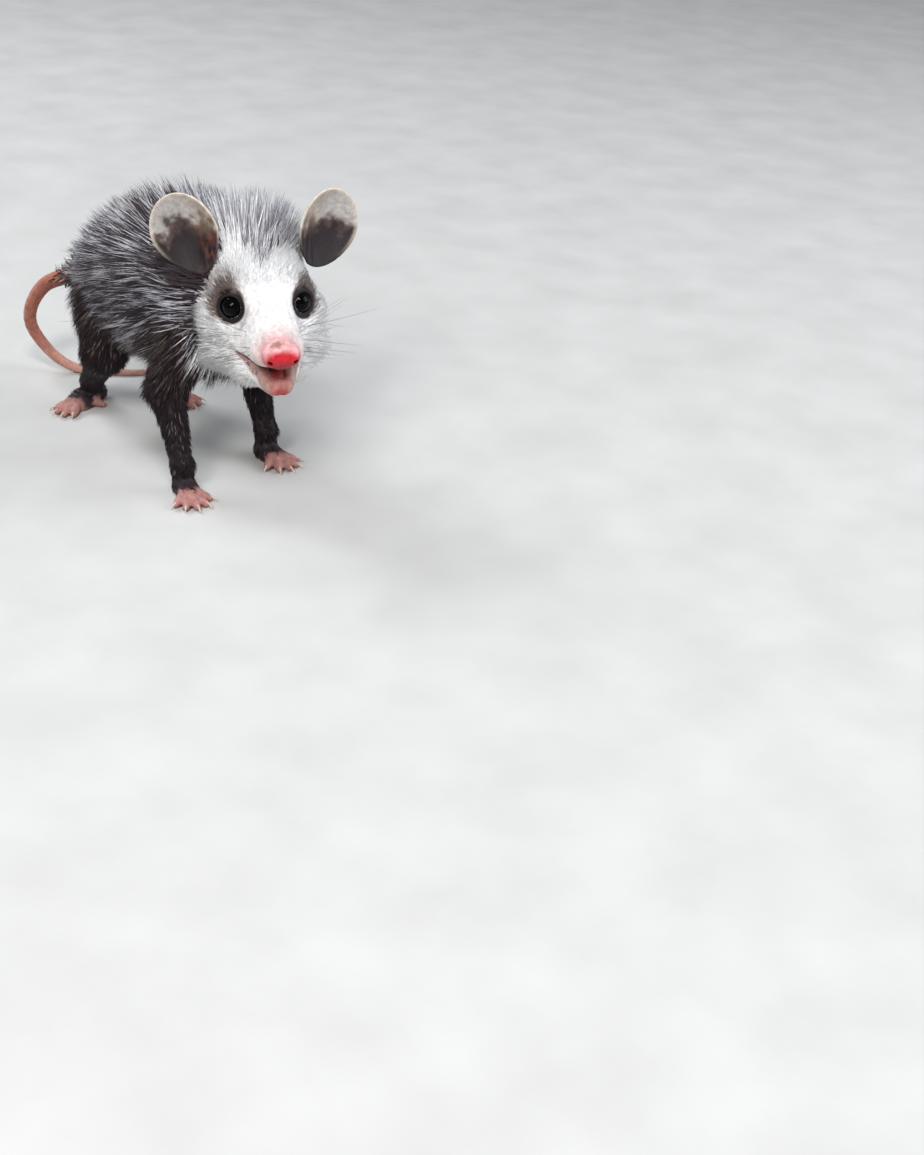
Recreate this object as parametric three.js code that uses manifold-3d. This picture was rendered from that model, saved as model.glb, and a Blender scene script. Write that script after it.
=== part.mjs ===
// A young Virginia opossum, life size, walking: millimetres, +X towards the head, +Y its left, +Z up.
// The body is described by smooth implicit forms, and each closed mesh is wrapped on to its form.
import * as THREE from 'three';
import { mergeVertices } from 'three/addons/utils/BufferGeometryUtils.js';
import Module from 'manifold-3d';

const wasm = await Module();
wasm.setup();

const V = (x, y, z) => new THREE.Vector3(x, y, z);
const GAP = 0.32;

// Driving dimensions of the trunk: centre and radius of the bare body at each place along the spine
const SPINE = [
  { at: V(44, 5.5, 75), r: 15 },
  { at: V(32, 3.5, 71.5), r: 18 },
  { at: V(20, 2, 67.5), r: 22.2 },
  { at: V(0, 0.5, 65), r: 23.7 },
  { at: V(-22, 0, 59.5), r: 21 },
  { at: V(-39, -0.5, 54.5), r: 16 },
  { at: V(-53, -2.5, 50.5), r: 9.5 },
  { at: V(-62, -4, 48.5), r: 5.5 },
];
const NECK_STATIONS = 3;
const TORSO_FRONT = { at: V(30, 3.5, 70), yaw: -12 };
const HEAD_REAR = -19;
const TRUNK_WIDTH = 0.86;
const COAT = { back: 13.5, flank: 7.5, belly: 9 };
const CORE_SHARE = 0.46;

// The head has its own frame: origin midway between the eyes, +X along the muzzle
const HEAD = { at: V(56, -1, 75), yaw: -24, pitch: 2, roll: 1.5 };
const EYE = { at: V(0, 11.3, 0), radius: 4.3, yaw: 33, pitch: -10 };
const SOCKET = { radius: 7, out: 7.6 };
const LID = { radius: 4.5, thickness: 0.95, ahead: 1.9 };
const EAR = { height: 29, width: 25, thickness: 1.1, cup: 6.5 };
const NOSE = { at: V(31, 0, -5.6), radii: V(4.2, 6, 4.7) };
const JAW_TIP = V(24.5, 0, -21.2);

const degrees = THREE.MathUtils.degToRad;
const clamp01 = (x) => Math.min(1, Math.max(0, x));
const smooth = (low, high, x) => {
  const t = clamp01((x - low) / (high - low));
  return t * t * (3 - 2 * t);
};

// A small seeded generator, so that each build is the same
function randomFrom(seed) {
  let state = seed;
  return () => {
    state = (state * 1664525 + 1013904223) % 4294967296;
    return state / 4294967296;
  };
}

// Implicit forms: each gives the distance of a point from a surface, negative inside
function ellipsoid(centre, radii) {
  return (p) => {
    const x = (p.x - centre.x) / radii.x;
    const y = (p.y - centre.y) / radii.y;
    const z = (p.z - centre.z) / radii.z;
    const near = Math.hypot(x, y, z);
    const slope = Math.hypot(x / radii.x, y / radii.y, z / radii.z);
    return slope < 1e-9 ? -Math.min(radii.x, radii.y, radii.z) : (near * (near - 1)) / slope;
  };
}

function limb(a, b, ra, rb) {
  const axis = b.clone().sub(a);
  const length = axis.length();
  const share = (ra - rb) / length;
  const slant = Math.sqrt(Math.max(1e-6, 1 - share * share));
  axis.normalize();
  const from = new THREE.Vector3();
  return (p) => {
    from.subVectors(p, a);
    const along = from.dot(axis);
    const out = Math.sqrt(Math.max(0, from.lengthSq() - along * along));
    const k = -share * out + slant * along;
    if (k < 0) return Math.hypot(out, along) - ra;
    if (k > slant * length) return Math.hypot(out, along - length) - rb;
    return out * slant + along * share - ra;
  };
}

function blend(k, ...forms) {
  return (p) => {
    let d = forms[0](p);
    for (let i = 1; i < forms.length; i += 1) {
      const e = forms[i](p);
      const h = Math.max(k - Math.abs(d - e), 0) / k;
      d = Math.min(d, e) - (h * h * k) / 4;
    }
    return d;
  };
}

function carve(k, form, cutter) {
  return (p) => {
    const d = form(p);
    const e = -cutter(p);
    const h = Math.max(k - Math.abs(d - e), 0) / k;
    return Math.max(d, e) + (h * h * k) / 4;
  };
}

function bothSides(form) {
  const q = new THREE.Vector3();
  return (p) => form(q.set(p.x, Math.abs(p.y), p.z));
}

function chain(stations, k) {
  const pieces = [];
  for (let i = 1; i < stations.length; i += 1) {
    const a = stations[i - 1];
    const b = stations[i];
    pieces.push(limb(a.at, b.at, a.r, b.r));
  }
  return blend(k, ...pieces);
}

// Closed meshes and solids
function solidFrom(geometry) {
  const bare = geometry.clone();
  for (const name of Object.keys(bare.attributes)) {
    if (name !== 'position') bare.deleteAttribute(name);
  }
  const merged = mergeVertices(bare, 1e-4);
  const mesh = new wasm.Mesh({
    numProp: 3,
    vertProperties: new Float32Array(merged.attributes.position.array),
    triVerts: new Uint32Array(merged.index.array),
  });
  return new wasm.Manifold(mesh);
}

function largest(solid) {
  const pieces = solid.decompose();
  return pieces.reduce((a, b) => (b.volume() > a.volume() ? b : a));
}

function geometryFrom(solid) {
  const mesh = solid.getMesh();
  const geometry = new THREE.BufferGeometry();
  geometry.setAttribute('position', new THREE.BufferAttribute(new Float32Array(mesh.vertProperties), 3));
  geometry.setIndex(new THREE.BufferAttribute(new Uint32Array(mesh.triVerts), 1));
  geometry.computeVertexNormals();
  return geometry;
}

// A sphere whose rows are spread along a curve, and whose points move outwards on to the form's surface
function wrap(form, points, { rows, sides, cap = 0.2, out = 0, reach = 60, matrix = null }) {
  const curve = new THREE.CatmullRomCurve3(points);
  const geometry = new THREE.SphereGeometry(1, sides, rows);
  geometry.deleteAttribute('normal');
  geometry.deleteAttribute('uv');
  const ball = mergeVertices(geometry, 1e-5);
  const place = ball.attributes.position;
  const offset = typeof out === 'function' ? out : () => out;
  const probe = new THREE.Vector3();
  for (let i = 0; i < place.count; i += 1) {
    const v = Math.acos(Math.min(1, Math.max(-1, place.getY(i)))) / Math.PI;
    const around = Math.atan2(place.getZ(i), place.getX(i));
    const along = clamp01((v - cap) / (1 - 2 * cap));
    const tilt = v < cap ? -(1 - v / cap) : v > 1 - cap ? 1 - (1 - v) / cap : 0;
    const centre = curve.getPointAt(along);
    const ahead = curve.getTangentAt(along);
    const side = V(0, 0, 1).cross(ahead);
    if (side.lengthSq() < 1e-4) side.set(0, 1, 0);
    side.normalize();
    const up = ahead.clone().cross(side);
    const angle = (tilt * Math.PI) / 2;
    const ray = side.multiplyScalar(Math.cos(around)).addScaledVector(up, Math.sin(around));
    ray.multiplyScalar(Math.cos(angle)).addScaledVector(ahead, Math.sin(angle)).normalize();
    const outside = (s) => {
      probe.copy(centre).addScaledVector(ray, s);
      return form(probe) - offset(probe) > 0;
    };
    let low = 0;
    let high = 0.6;
    while (high < reach && !outside(high)) {
      low = high;
      high += 0.6;
    }
    for (let n = 0; n < 14; n += 1) {
      const middle = (low + high) / 2;
      if (outside(middle)) high = middle;
      else low = middle;
    }
    probe.copy(centre).addScaledVector(ray, high);
    place.setXYZ(i, probe.x, probe.y, probe.z);
  }
  if (matrix) ball.applyMatrix4(matrix);
  const solid = solidFrom(ball);
  return solid.volume() < 0 ? solidFrom(turnedInsideOut(ball)) : solid;
}

function turnedInsideOut(geometry) {
  const turned = geometry.clone();
  const index = turned.index;
  for (let i = 0; i < index.count; i += 3) {
    const a = index.getX(i);
    index.setX(i, index.getX(i + 1));
    index.setX(i + 1, a);
  }
  return turned;
}

// A tapering tube through a few points, closed to a tip at its far end
function horn(points, radii, sides, flat = 1, up = V(0, 0, 1)) {
  const curve = new THREE.CatmullRomCurve3(points);
  const rings = radii.length;
  const geometry = new THREE.SphereGeometry(1, sides, rings + 1);
  geometry.deleteAttribute('normal');
  geometry.deleteAttribute('uv');
  const ball = mergeVertices(geometry, 1e-5);
  const place = ball.attributes.position;
  for (let i = 0; i < place.count; i += 1) {
    const row = Math.round((Math.acos(Math.min(1, Math.max(-1, place.getY(i)))) / Math.PI) * (rings + 1));
    const around = Math.atan2(place.getZ(i), place.getX(i));
    const ring = Math.min(rings, Math.max(1, row));
    const along = row > rings ? 1 : (ring - 1) / rings;
    const radius = row === 0 || row > rings ? 0 : radii[ring - 1];
    const centre = curve.getPointAt(along);
    const ahead = curve.getTangentAt(along);
    const side = up.clone().cross(ahead).normalize();
    const over = ahead.clone().cross(side);
    centre.addScaledVector(side, radius * Math.cos(around));
    centre.addScaledVector(over, radius * flat * Math.sin(around));
    place.setXYZ(i, centre.x, centre.y, centre.z);
  }
  const solid = solidFrom(ball);
  return solid.volume() < 0 ? solidFrom(turnedInsideOut(ball)) : solid;
}

// The trunk, a little narrower than it is deep
function trunkForm(stations) {
  const wide = stations.map((s) => ({ at: V(s.at.x, s.at.y / TRUNK_WIDTH, s.at.z), r: s.r }));
  const round = chain(wide, 5);
  const q = new THREE.Vector3();
  return (p) => round(q.set(p.x, p.y / TRUNK_WIDTH, p.z)) * TRUNK_WIDTH;
}

function nearSpine(p) {
  const n = SPINE.length;
  if (p.x >= SPINE[0].at.x) return SPINE[0].at;
  if (p.x <= SPINE[n - 1].at.x) return SPINE[n - 1].at;
  const i = SPINE.findIndex((s) => s.at.x < p.x);
  const a = SPINE[i - 1].at;
  const b = SPINE[i].at;
  return a.clone().lerp(b, (a.x - p.x) / (a.x - b.x));
}

// How deep the coat is, from the direction that the skin faces and the place along the body
function coatDepth(p) {
  const spine = nearSpine(p);
  const rise = (p.z - spine.z) / (Math.hypot(p.y - spine.y, p.z - spine.z) + 1e-6);
  const upper = COAT.flank + (COAT.back - COAT.flank) * smooth(0, 0.9, rise);
  const depth = rise > 0 ? upper : COAT.flank + (COAT.belly - COAT.flank) * smooth(0, 0.8, -rise);
  const neck = 1 - 0.45 * smooth(34, 50, p.x);
  const rump = 1 - 0.2 * smooth(12, 40, -p.x);
  const tail = 1 - 0.55 * smooth(48, 70, -p.x);
  return depth * neck * rump * tail;
}

const trunk = trunkForm(SPINE.slice(1));
const TRUNK_AXIS = [V(25, 3, 70), V(8, 1, 68), V(-19, 0, 61), V(-38, -1, 55), V(-56, -3.5, 50)];

function trunkCore(extra) {
  return wrap(trunk, TRUNK_AXIS, {
    rows: 22,
    sides: 20,
    cap: 0.16,
    out: (p) => coatDepth(p) * CORE_SHARE + extra,
  });
}

// Locks of the long coat: flat and tapered, rooted in the core, lying back and down along the body
const LOCK = {
  width: 9.6, thickness: 2.1, sunk: 2.6, length: 12.5, rowStep: 8.4, aroundStep: 10.1, seed: 7,
};

function surfaceNormal(form, p) {
  const e = 0.4;
  const n = V(
    form(V(p.x + e, p.y, p.z)) - form(V(p.x - e, p.y, p.z)),
    form(V(p.x, p.y + e, p.z)) - form(V(p.x, p.y - e, p.z)),
    form(V(p.x, p.y, p.z + e)) - form(V(p.x, p.y, p.z - e)),
  );
  return n.normalize();
}

function outAlong(form, centre, ray, depth) {
  const p = centre.clone();
  for (let s = 1; s < 60; s += 0.2) {
    p.copy(centre).addScaledVector(ray, s);
    if (form(p) > depth(p)) break;
  }
  return p;
}

// One lock: it leaves the core near the surface normal and bends over to lie back
function lock(form, root, size, turn, lean) {
  const normal = surfaceNormal(form, root);
  const lay = V(-1, 0, -0.38 * (1 - Math.max(0, normal.z))).add(turn);
  lay.addScaledVector(normal, -lay.dot(normal)).normalize();
  const stand = coatDepth(root) * (1 - CORE_SHARE);
  const step = (out, back) => root.clone().addScaledVector(normal, out).addScaledVector(lay, back * size * lean);
  const path = [
    step(-LOCK.sunk, -2), step(stand * 0.42, 2.6), step(stand * 0.86, 7.2), step(stand * 1.04, LOCK.length),
  ];
  const w = (LOCK.width * size) / 2;
  return horn(path, [w * 0.7, w, w * 0.62], 4, LOCK.thickness / LOCK.width, normal);
}

// Locks set in staggered rows over part of the body, leaving out those that would reach a neighbour
function coatOfLocks(form, { from, to, seed, spread, lean }) {
  const random = randomFrom(seed);
  const locks = [];
  let row = 0;
  for (let x = from; x > to; x -= LOCK.rowStep) {
    const centre = nearSpine(V(x, 0, 0)).clone().setX(x);
    const side = outAlong(form, centre, V(0, -1, 0), (p) => coatDepth(p) * CORE_SHARE);
    const radius = centre.distanceTo(side) * 1.08;
    const count = Math.max(5, Math.round((2 * spread * radius) / LOCK.aroundStep));
    for (let i = 0; i < count; i += 1) {
      const share = (i + 0.5 + (row % 2 === 0 ? 0.25 : -0.25)) / count;
      const angle = (share * 2 - 1) * spread + (random() - 0.5) * 0.12;
      const ray = V(0, Math.sin(angle), Math.cos(angle));
      const start = centre.clone().setX(x + (random() - 0.5) * 2.4);
      const root = outAlong(form, start, ray, (p) => coatDepth(p) * CORE_SHARE - 0.3);
      const turn = V(0, (random() - 0.5) * 0.45, (random() - 0.5) * 0.3);
      const size = 0.86 + random() * 0.28;
      locks.push(lock(form, root, size, turn, lean));
    }
    row += 1;
  }
  return locks;
}

// Limb stations, from the trunk to the wrist or ankle: joint centres and radii with the short coat on
const LEGS = {
  fore_right: {
    root: V(25, -12, 58), bend: V(20, -21, 35), end: V(35.5, -24.5, 11),
    radii: [11, 7.3, 4.8], names: ['upper_arm_right', 'forearm_right', 'hand_right'],
    foot: V(38, -25, 0), heading: -14, hind: false, side: -1,
  },
  fore_left: {
    root: V(24, 13, 58), bend: V(13, 20, 35), end: V(26, 18, 11),
    radii: [11, 7.3, 4.8], names: ['upper_arm_left', 'forearm_left', 'hand_left'],
    foot: V(28.5, 17.5, 0), heading: 4, hind: false, side: 1,
  },
  hind_right: {
    root: V(-42, -10, 49), bend: V(-32, -18.5, 31), end: V(-53, -13.5, 11.5),
    radii: [12.5, 8.6, 5], names: ['thigh_right', 'shank_right', 'foot_right'],
    foot: V(-56.5, -14, 0), heading: -66, hind: true, side: -1,
  },
  hind_left: {
    root: V(-42, 9, 49), bend: V(-30, 18, 32), end: V(-47, 14, 11.5),
    radii: [12.5, 8.6, 5], names: ['thigh_left', 'shank_left', 'foot_left'],
    foot: V(-44.5, 15, 0), heading: 14, hind: true, side: 1,
  },
};

function upperForm(leg) {
  return blend(4, limb(leg.root, leg.bend, leg.radii[0], leg.radii[1]));
}

// A few shorter locks on the outer and rear side of each upper leg
const LEG_LOCK = {
  width: 7, thickness: 1.7, stand: 2.6, length: 9.5, rows: [0.3, 0.72], angles: [-0.4, 0.3, 1, 1.75, 2.5],
};

function legLocks(leg, seed) {
  const random = randomFrom(seed);
  const form = upperForm(leg);
  const locks = [];
  for (const share of LEG_LOCK.rows) {
    for (const angle of LEG_LOCK.angles) {
      const centre = leg.root.clone().lerp(leg.bend, share + (random() - 0.5) * 0.08);
      const around = angle + (random() - 0.5) * 0.3;
      const ray = V(-Math.sin(around), leg.side * Math.cos(around), 0.1).normalize();
      const root = outAlong(form, centre, ray, () => -0.3);
      const normal = surfaceNormal(form, root);
      const lay = V(-0.45, leg.side * 0.08 + (random() - 0.5) * 0.3, -1);
      lay.addScaledVector(normal, -lay.dot(normal)).normalize();
      const size = 0.85 + random() * 0.3;
      const step = (out, down) => root.clone().addScaledVector(normal, out).addScaledVector(lay, down * size);
      const path = [step(-2, -1.5), step(0.7, 2.2), step(1.9, 5.6), step(LEG_LOCK.stand, LEG_LOCK.length)];
      const w = (LEG_LOCK.width * size) / 2;
      const flat = LEG_LOCK.thickness / LEG_LOCK.width;
      const build = (extra) => horn(path, [w * 0.7 + extra, w + extra, w * 0.6 + extra], 4, flat, normal);
      locks.push({ solid: build(0), wide: build(GAP * 2) });
    }
  }
  return locks;
}

function lowerForm(leg) {
  return limb(leg.bend, leg.end, leg.radii[1] * 0.94, leg.radii[2]);
}

function upperLeg(leg, extra) {
  return wrap(upperForm(leg), [leg.root, leg.bend], { rows: 9, sides: 12, cap: 0.3, out: extra, reach: 30 });
}

function lowerLeg(leg, extra) {
  return wrap(lowerForm(leg), [leg.bend, leg.end], { rows: 8, sides: 12, cap: 0.3, out: extra, reach: 24 });
}

// A foot: a padded palm and five toes with claws, cut flat where it meets the ground
const FORE_TOES = [
  { turn: 58, length: 6.4 }, { turn: 26, length: 8 }, { turn: 2, length: 8.6 },
  { turn: -22, length: 8.2 }, { turn: -50, length: 6.6 },
];
const HIND_TOES = [
  { turn: 96, length: 8, thumb: true }, { turn: 24, length: 8.8 }, { turn: 4, length: 9.6 },
  { turn: -16, length: 9.4 }, { turn: -38, length: 8 },
];
const TOE = { root: 1.75, tip: 1.2, claw: 0.6, clawLength: 2.8 };

function footSolid(leg, extra) {
  const turn = degrees(leg.heading);
  const ahead = V(Math.cos(turn), Math.sin(turn), 0);
  const heel = leg.foot.clone().addScaledVector(ahead, leg.hind ? -6.5 : -3.5).setZ(3);
  const ball = leg.foot.clone().addScaledVector(ahead, leg.hind ? 5.5 : 3.5).setZ(2.4);
  const ankle = leg.end.clone();
  const palm = blend(
    3.5,
    limb(heel, ball, leg.hind ? 3.6 : 3.4, leg.hind ? 4.9 : 4.3),
    limb(ankle, heel.clone().lerp(ball, 0.25).setZ(3.4), leg.radii[2] * 0.93, 3.6),
  );
  const middle = heel.clone().lerp(ball, 0.45).setZ(2.6);
  let solid = wrap(palm, [ankle.clone().lerp(middle, 0.15), middle], {
    rows: 8, sides: 11, cap: 0.34, out: extra, reach: 18,
  });
  for (const toe of leg.hind ? HIND_TOES : FORE_TOES) {
    const angle = turn + degrees(-leg.side * toe.turn);
    const out = V(Math.cos(angle), Math.sin(angle), 0);
    const root = ball.clone().addScaledVector(out, toe.thumb ? -1 : 1.5).setZ(2.2);
    if (toe.thumb) root.lerp(heel, 0.35);
    const reach = (share, z) => root.clone().addScaledVector(out, toe.length * share).setZ(z);
    const path = [reach(0, 2.3), reach(0.35, 2.9), reach(0.72, 2), reach(1, 1.25)];
    const radii = [TOE.root, TOE.root, TOE.tip * 1.1];
    solid = solid.add(horn(path, radii.map((r) => r + extra), 5));
    if (toe.thumb) continue;
    const claw = [reach(0.86, 1.9), reach(1.05, 2.1), reach(1 + TOE.clawLength / toe.length, 0.55)];
    solid = solid.add(horn(claw, [TOE.claw + extra, TOE.claw * 0.6 + extra], 4));
  }
  const ground = solidFrom(new THREE.BoxGeometry(400, 400, 40).translate(0, 0, -20 - extra));
  return largest(solid.subtract(ground));
}

// The tail: a bare tapering tube that leaves the rump, drops to the ground and curls forward
const TAIL_PATH = [
  V(-60, -4, 49.5), V(-70, -4, 49), V(-78.5, -4.5, 47), V(-86.5, -7.5, 43.5), V(-94.5, -11.5, 38.5),
  V(-99.5, -15.3, 29.5), V(-101.5, -15.5, 20.5), V(-99.5, -12, 12), V(-93.5, -8.2, 6), V(-88.5, -3, 2.4),
  V(-83, 3, 1.2), V(-77, 10, 1), V(-72, 18, 0.8), V(-70, 28, 0.6), V(-74, 38, 0.4),
];
const TAIL_FLAT = 0.15;
const TAIL_RADIUS = { root: 4.2, middle: 2.4, tip: 0.8 };
const TAIL_CUTS = [0.3, 0.46, 0.62, 0.79];
const TAIL_NAMES = ['tail_base', 'tail_upper', 'tail_bend', 'tail_lower', 'tail_tip'];

function tailRadius(t) {
  const { root, middle, tip } = TAIL_RADIUS;
  return t < 0.5 ? root + (middle - root) * (t / 0.5) ** 0.7 : middle + (tip - middle) * ((t - 0.5) / 0.5);
}

function tailPiece(from, to, curve, extra) {
  const steps = Math.max(5, Math.round((to - from) * 44));
  const path = [];
  const radii = [];
  for (let i = 0; i <= steps; i += 1) {
    const t = from + ((to - from) * i) / steps;
    const radius = tailRadius(t);
    const centre = curve.getPointAt(t);
    path.push(centre.setZ(Math.max(centre.z, radius - TAIL_FLAT)));
    radii.push(radius + extra);
  }
  const sides = 9;
  const geometry = new THREE.SphereGeometry(1, sides, steps + 2);
  geometry.deleteAttribute('normal');
  geometry.deleteAttribute('uv');
  const ball = mergeVertices(geometry, 1e-5);
  const place = ball.attributes.position;
  for (let i = 0; i < place.count; i += 1) {
    const row = Math.round((Math.acos(Math.min(1, Math.max(-1, place.getY(i)))) / Math.PI) * (steps + 2));
    const around = Math.atan2(place.getZ(i), place.getX(i));
    const station = Math.min(steps, Math.max(0, row - 1));
    const atPole = row === 0 || row === steps + 2;
    const t = from + ((to - from) * station) / steps;
    const ahead = curve.getTangentAt(t);
    const side = V(0, 0, 1).cross(ahead).normalize();
    const over = ahead.clone().cross(side);
    const r = atPole ? 0 : radii[station];
    const point = path[station].clone();
    point.addScaledVector(side, r * Math.cos(around)).addScaledVector(over, r * Math.sin(around));
    place.setXYZ(i, point.x, point.y, point.z);
  }
  const solid = solidFrom(ball);
  return solid.volume() < 0 ? solidFrom(turnedInsideOut(ball)) : solid;
}

// The head
const headMatrix = new THREE.Matrix4().compose(
  HEAD.at,
  new THREE.Quaternion().setFromEuler(
    new THREE.Euler(degrees(HEAD.roll), degrees(HEAD.pitch), degrees(HEAD.yaw), 'ZYX'),
  ),
  V(1, 1, 1),
);

function skullForm() {
  const half = blend(
    7,
    ellipsoid(V(-15, 0, 1), V(17.5, 14.5, 13.5)),
    ellipsoid(V(-8, 8.2, -6), V(13.5, 10, 11.5)),
    limb(V(2, 0, -2.8), V(27, 0, -6.4), 11, 5.6),
    ellipsoid(V(-5, 5, 3), V(8, 7.9, 6.5)),
    limb(V(-8, 8, -12), V(17, 2.5, -11), 9.5, 4.6),
  );
  const pads = ellipsoid(V(19, 4.8, -8.6), V(9.5, 4.4, 4));
  return bothSides(blend(3, half, pads));
}

function headCoat(p) {
  const back = smooth(12, -8, p.x);
  const eye = Math.hypot(p.x - EYE.at.x, Math.abs(p.y) - EYE.at.y, p.z - EYE.at.z);
  const clear = smooth(4.5, 10, eye);
  const low = smooth(4, -8, p.z);
  const crest = smooth(-5, -19, p.x) * smooth(5, 15, p.z);
  return 0.5 + 0.5 * smooth(26, 8, p.x) + back * clear * (2.6 + 2 * low) + 4.5 * crest;
}

// The sockets leave each eyeball standing a little out of the face
function socketed(form) {
  const at = V(
    EYE.at.x + Math.cos(degrees(EYE.yaw)) * SOCKET.out,
    EYE.at.y + Math.sin(degrees(EYE.yaw)) * SOCKET.out,
    EYE.at.z + Math.sin(degrees(-EYE.pitch)) * SOCKET.out,
  );
  const socket = ellipsoid(at, V(SOCKET.radius, SOCKET.radius, SOCKET.radius));
  return carve(3, form, bothSides(socket));
}

const skull = socketed(skullForm());
const HEAD_AXIS = [V(-13, 0, -2), V(-4, 0, -4), V(10, 0, -5), V(24, 0, -7)];

function headShell(extra) {
  return wrap(skull, HEAD_AXIS, {
    rows: 28, sides: 26, cap: 0.3, out: (p) => headCoat(p) + extra, reach: 40,
  });
}

function noseForm() {
  const pad = ellipsoid(NOSE.at, NOSE.radii);
  const wings = bothSides(ellipsoid(V(31.4, 3.6, -6), V(3.2, 2.6, 3.2)));
  return blend(1.6, pad, wings);
}

function noseSolid(extra) {
  const reach = { rows: 10, sides: 14, cap: 0.4, out: extra, reach: 12 };
  return wrap(noseForm(), [V(30, 0, -5.6), V(31.5, 0, -5.6)], reach);
}

function nostril(side) {
  const path = [V(36.2, side * 4.6, -6.2), V(33.6, side * 3.3, -5.7), V(31.2, side * 2.2, -5.4)];
  return horn(path, [1.5, 1.35, 0.9], 8);
}

function jawForm() {
  const half = blend(
    4,
    limb(V(-6, 7.5, -17), V(10, 5.2, -19.8), 6, 4.3),
    limb(V(10, 5.2, -19.8), JAW_TIP.clone().setY(1.4), 4.3, 3.2),
  );
  return bothSides(blend(4, half, limb(V(-4, 0, -18.5), V(20, 0, -21.2), 6, 3.3)));
}

function jawSolid(extra) {
  return wrap(jawForm(), [V(-2, 0, -18.2), V(20, 0, -20.8)], {
    rows: 14, sides: 14, cap: 0.22, out: (p) => extra + 0.5 + 1.8 * smooth(14, -4, p.x), reach: 22,
  });
}

function tongueSolid(extra) {
  const form = limb(V(8, 0, -16.2), V(23.2, 0, -18.4), 2.6, 2.1);
  const fineness = { rows: 8, sides: 10, cap: 0.25, out: extra, reach: 8 };
  return wrap(form, [V(10, 0, -16.5), V(21.5, 0, -18.2)], fineness);
}

function eyeMatrix(side) {
  const turn = new THREE.Matrix4().makeRotationFromEuler(
    new THREE.Euler(0, degrees(EYE.pitch), degrees(side * EYE.yaw), 'ZYX'),
  );
  return turn.setPosition(EYE.at.x, side * EYE.at.y, EYE.at.z);
}

function eyeball(side, extra) {
  const ball = new THREE.SphereGeometry(EYE.radius + extra, 14, 10);
  return solidFrom(ball.applyMatrix4(eyeMatrix(side)));
}

function lidRing(side) {
  const ring = new THREE.TorusGeometry(LID.radius, LID.thickness, 6, 16);
  ring.rotateY(Math.PI / 2).scale(1, 1.04, 0.92).translate(LID.ahead, 0, 0);
  return solidFrom(ring.applyMatrix4(eyeMatrix(side)));
}

// An ear: a thin oval sheet cupped forward, split alike on both faces
function earSolid(side, extra) {
  const rings = 5;
  const sides = 20;
  const base = V(-15.5, side * 20.5, side > 0 ? 8.4 : 9.8);
  const stand = V(-0.12, side * 0.3, 0.95).normalize();
  const facing = V(0.86, side * 0.42, 0.06).normalize();
  const across = stand.clone().cross(facing).normalize();
  const face = across.clone().cross(stand).normalize();
  const points = [];
  const place = (rho, phi, back) => {
    const u = rho * Math.cos(phi);
    const w = rho * Math.sin(phi);
    const egg = 1 - 0.16 * Math.max(0, -w);
    const depth = EAR.cup * (rho * rho - 1) + (w < 0 ? -w * w * 2.2 : w * w * -1.4);
    const p = base.clone();
    p.addScaledVector(stand, (w + 1) * 0.5 * EAR.height - 2);
    p.addScaledVector(across, u * 0.5 * EAR.width * egg);
    p.addScaledVector(face, depth + 2.4);
    const half = (EAR.thickness / 2) * (1 - 0.35 * rho) + extra;
    return p.addScaledVector(face, back ? -half : half);
  };
  const index = [];
  for (const back of [false, true]) {
    points.push(place(0, 0, back));
    for (let i = 1; i <= rings; i += 1) {
      for (let j = 0; j < sides; j += 1) points.push(place(i / rings, (j / sides) * 2 * Math.PI, back));
    }
  }
  const shift = 1 + rings * sides;
  const at = (i, j) => 1 + (i - 1) * sides + (j % sides);
  const put = (a, b, c) => {
    index.push(a, b, c);
    index.push(a + shift, c + shift, b + shift);
  };
  for (let j = 0; j < sides; j += 1) {
    put(0, at(1, j), at(1, j + 1));
    for (let i = 1; i < rings; i += 1) {
      put(at(i, j), at(i + 1, j), at(i + 1, j + 1));
      put(at(i, j), at(i + 1, j + 1), at(i, j + 1));
    }
    const a = at(rings, j);
    const b = at(rings, j + 1);
    index.push(a, a + shift, b + shift);
    index.push(a, b + shift, b);
  }
  const geometry = new THREE.BufferGeometry();
  const numbers = points.flatMap((p) => [p.x, p.y, p.z]);
  geometry.setAttribute('position', new THREE.Float32BufferAttribute(numbers, 3));
  geometry.setIndex(index);
  const solid = solidFrom(geometry);
  return solid.volume() < 0 ? solidFrom(turnedInsideOut(geometry)) : solid;
}

const inBody = (solid) => solid.transform(headMatrix.elements);

// Neck, between the back of the head and the front of the trunk
const neckForm = trunkForm(SPINE.slice(0, NECK_STATIONS));

function neckSolid(extra) {
  return wrap(neckForm, SPINE.slice(0, 2).map((s) => s.at), {
    rows: 12, sides: 18, cap: 0.3, out: (p) => coatDepth(p) * CORE_SHARE + extra, reach: 50,
  });
}

// A large block that starts at a plane and fills the side that the direction points to
function halfSpace(origin, direction) {
  const block = new THREE.BoxGeometry(300, 300, 300).translate(150, 0, 0);
  const turn = new THREE.Quaternion().setFromUnitVectors(V(1, 0, 0), direction.clone().normalize());
  return solidFrom(block.applyQuaternion(turn).translate(origin.x, origin.y, origin.z));
}

const headAhead = V(1, 0, 0).transformDirection(headMatrix);
const headRear = (gap) => V(HEAD_REAR - gap, 0, 0).applyMatrix4(headMatrix);
const behindHead = halfSpace(headRear(0), headAhead.clone().negate());
const beforeNeck = halfSpace(headRear(GAP), headAhead);
const torsoAhead = V(Math.cos(degrees(TORSO_FRONT.yaw)), Math.sin(degrees(TORSO_FRONT.yaw)), 0);
const beforeTorso = halfSpace(TORSO_FRONT.at, torsoAhead);
const neckRear = TORSO_FRONT.at.clone().addScaledVector(torsoAhead, GAP);
const behindNeck = halfSpace(neckRear, torsoAhead.clone().negate());

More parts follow.
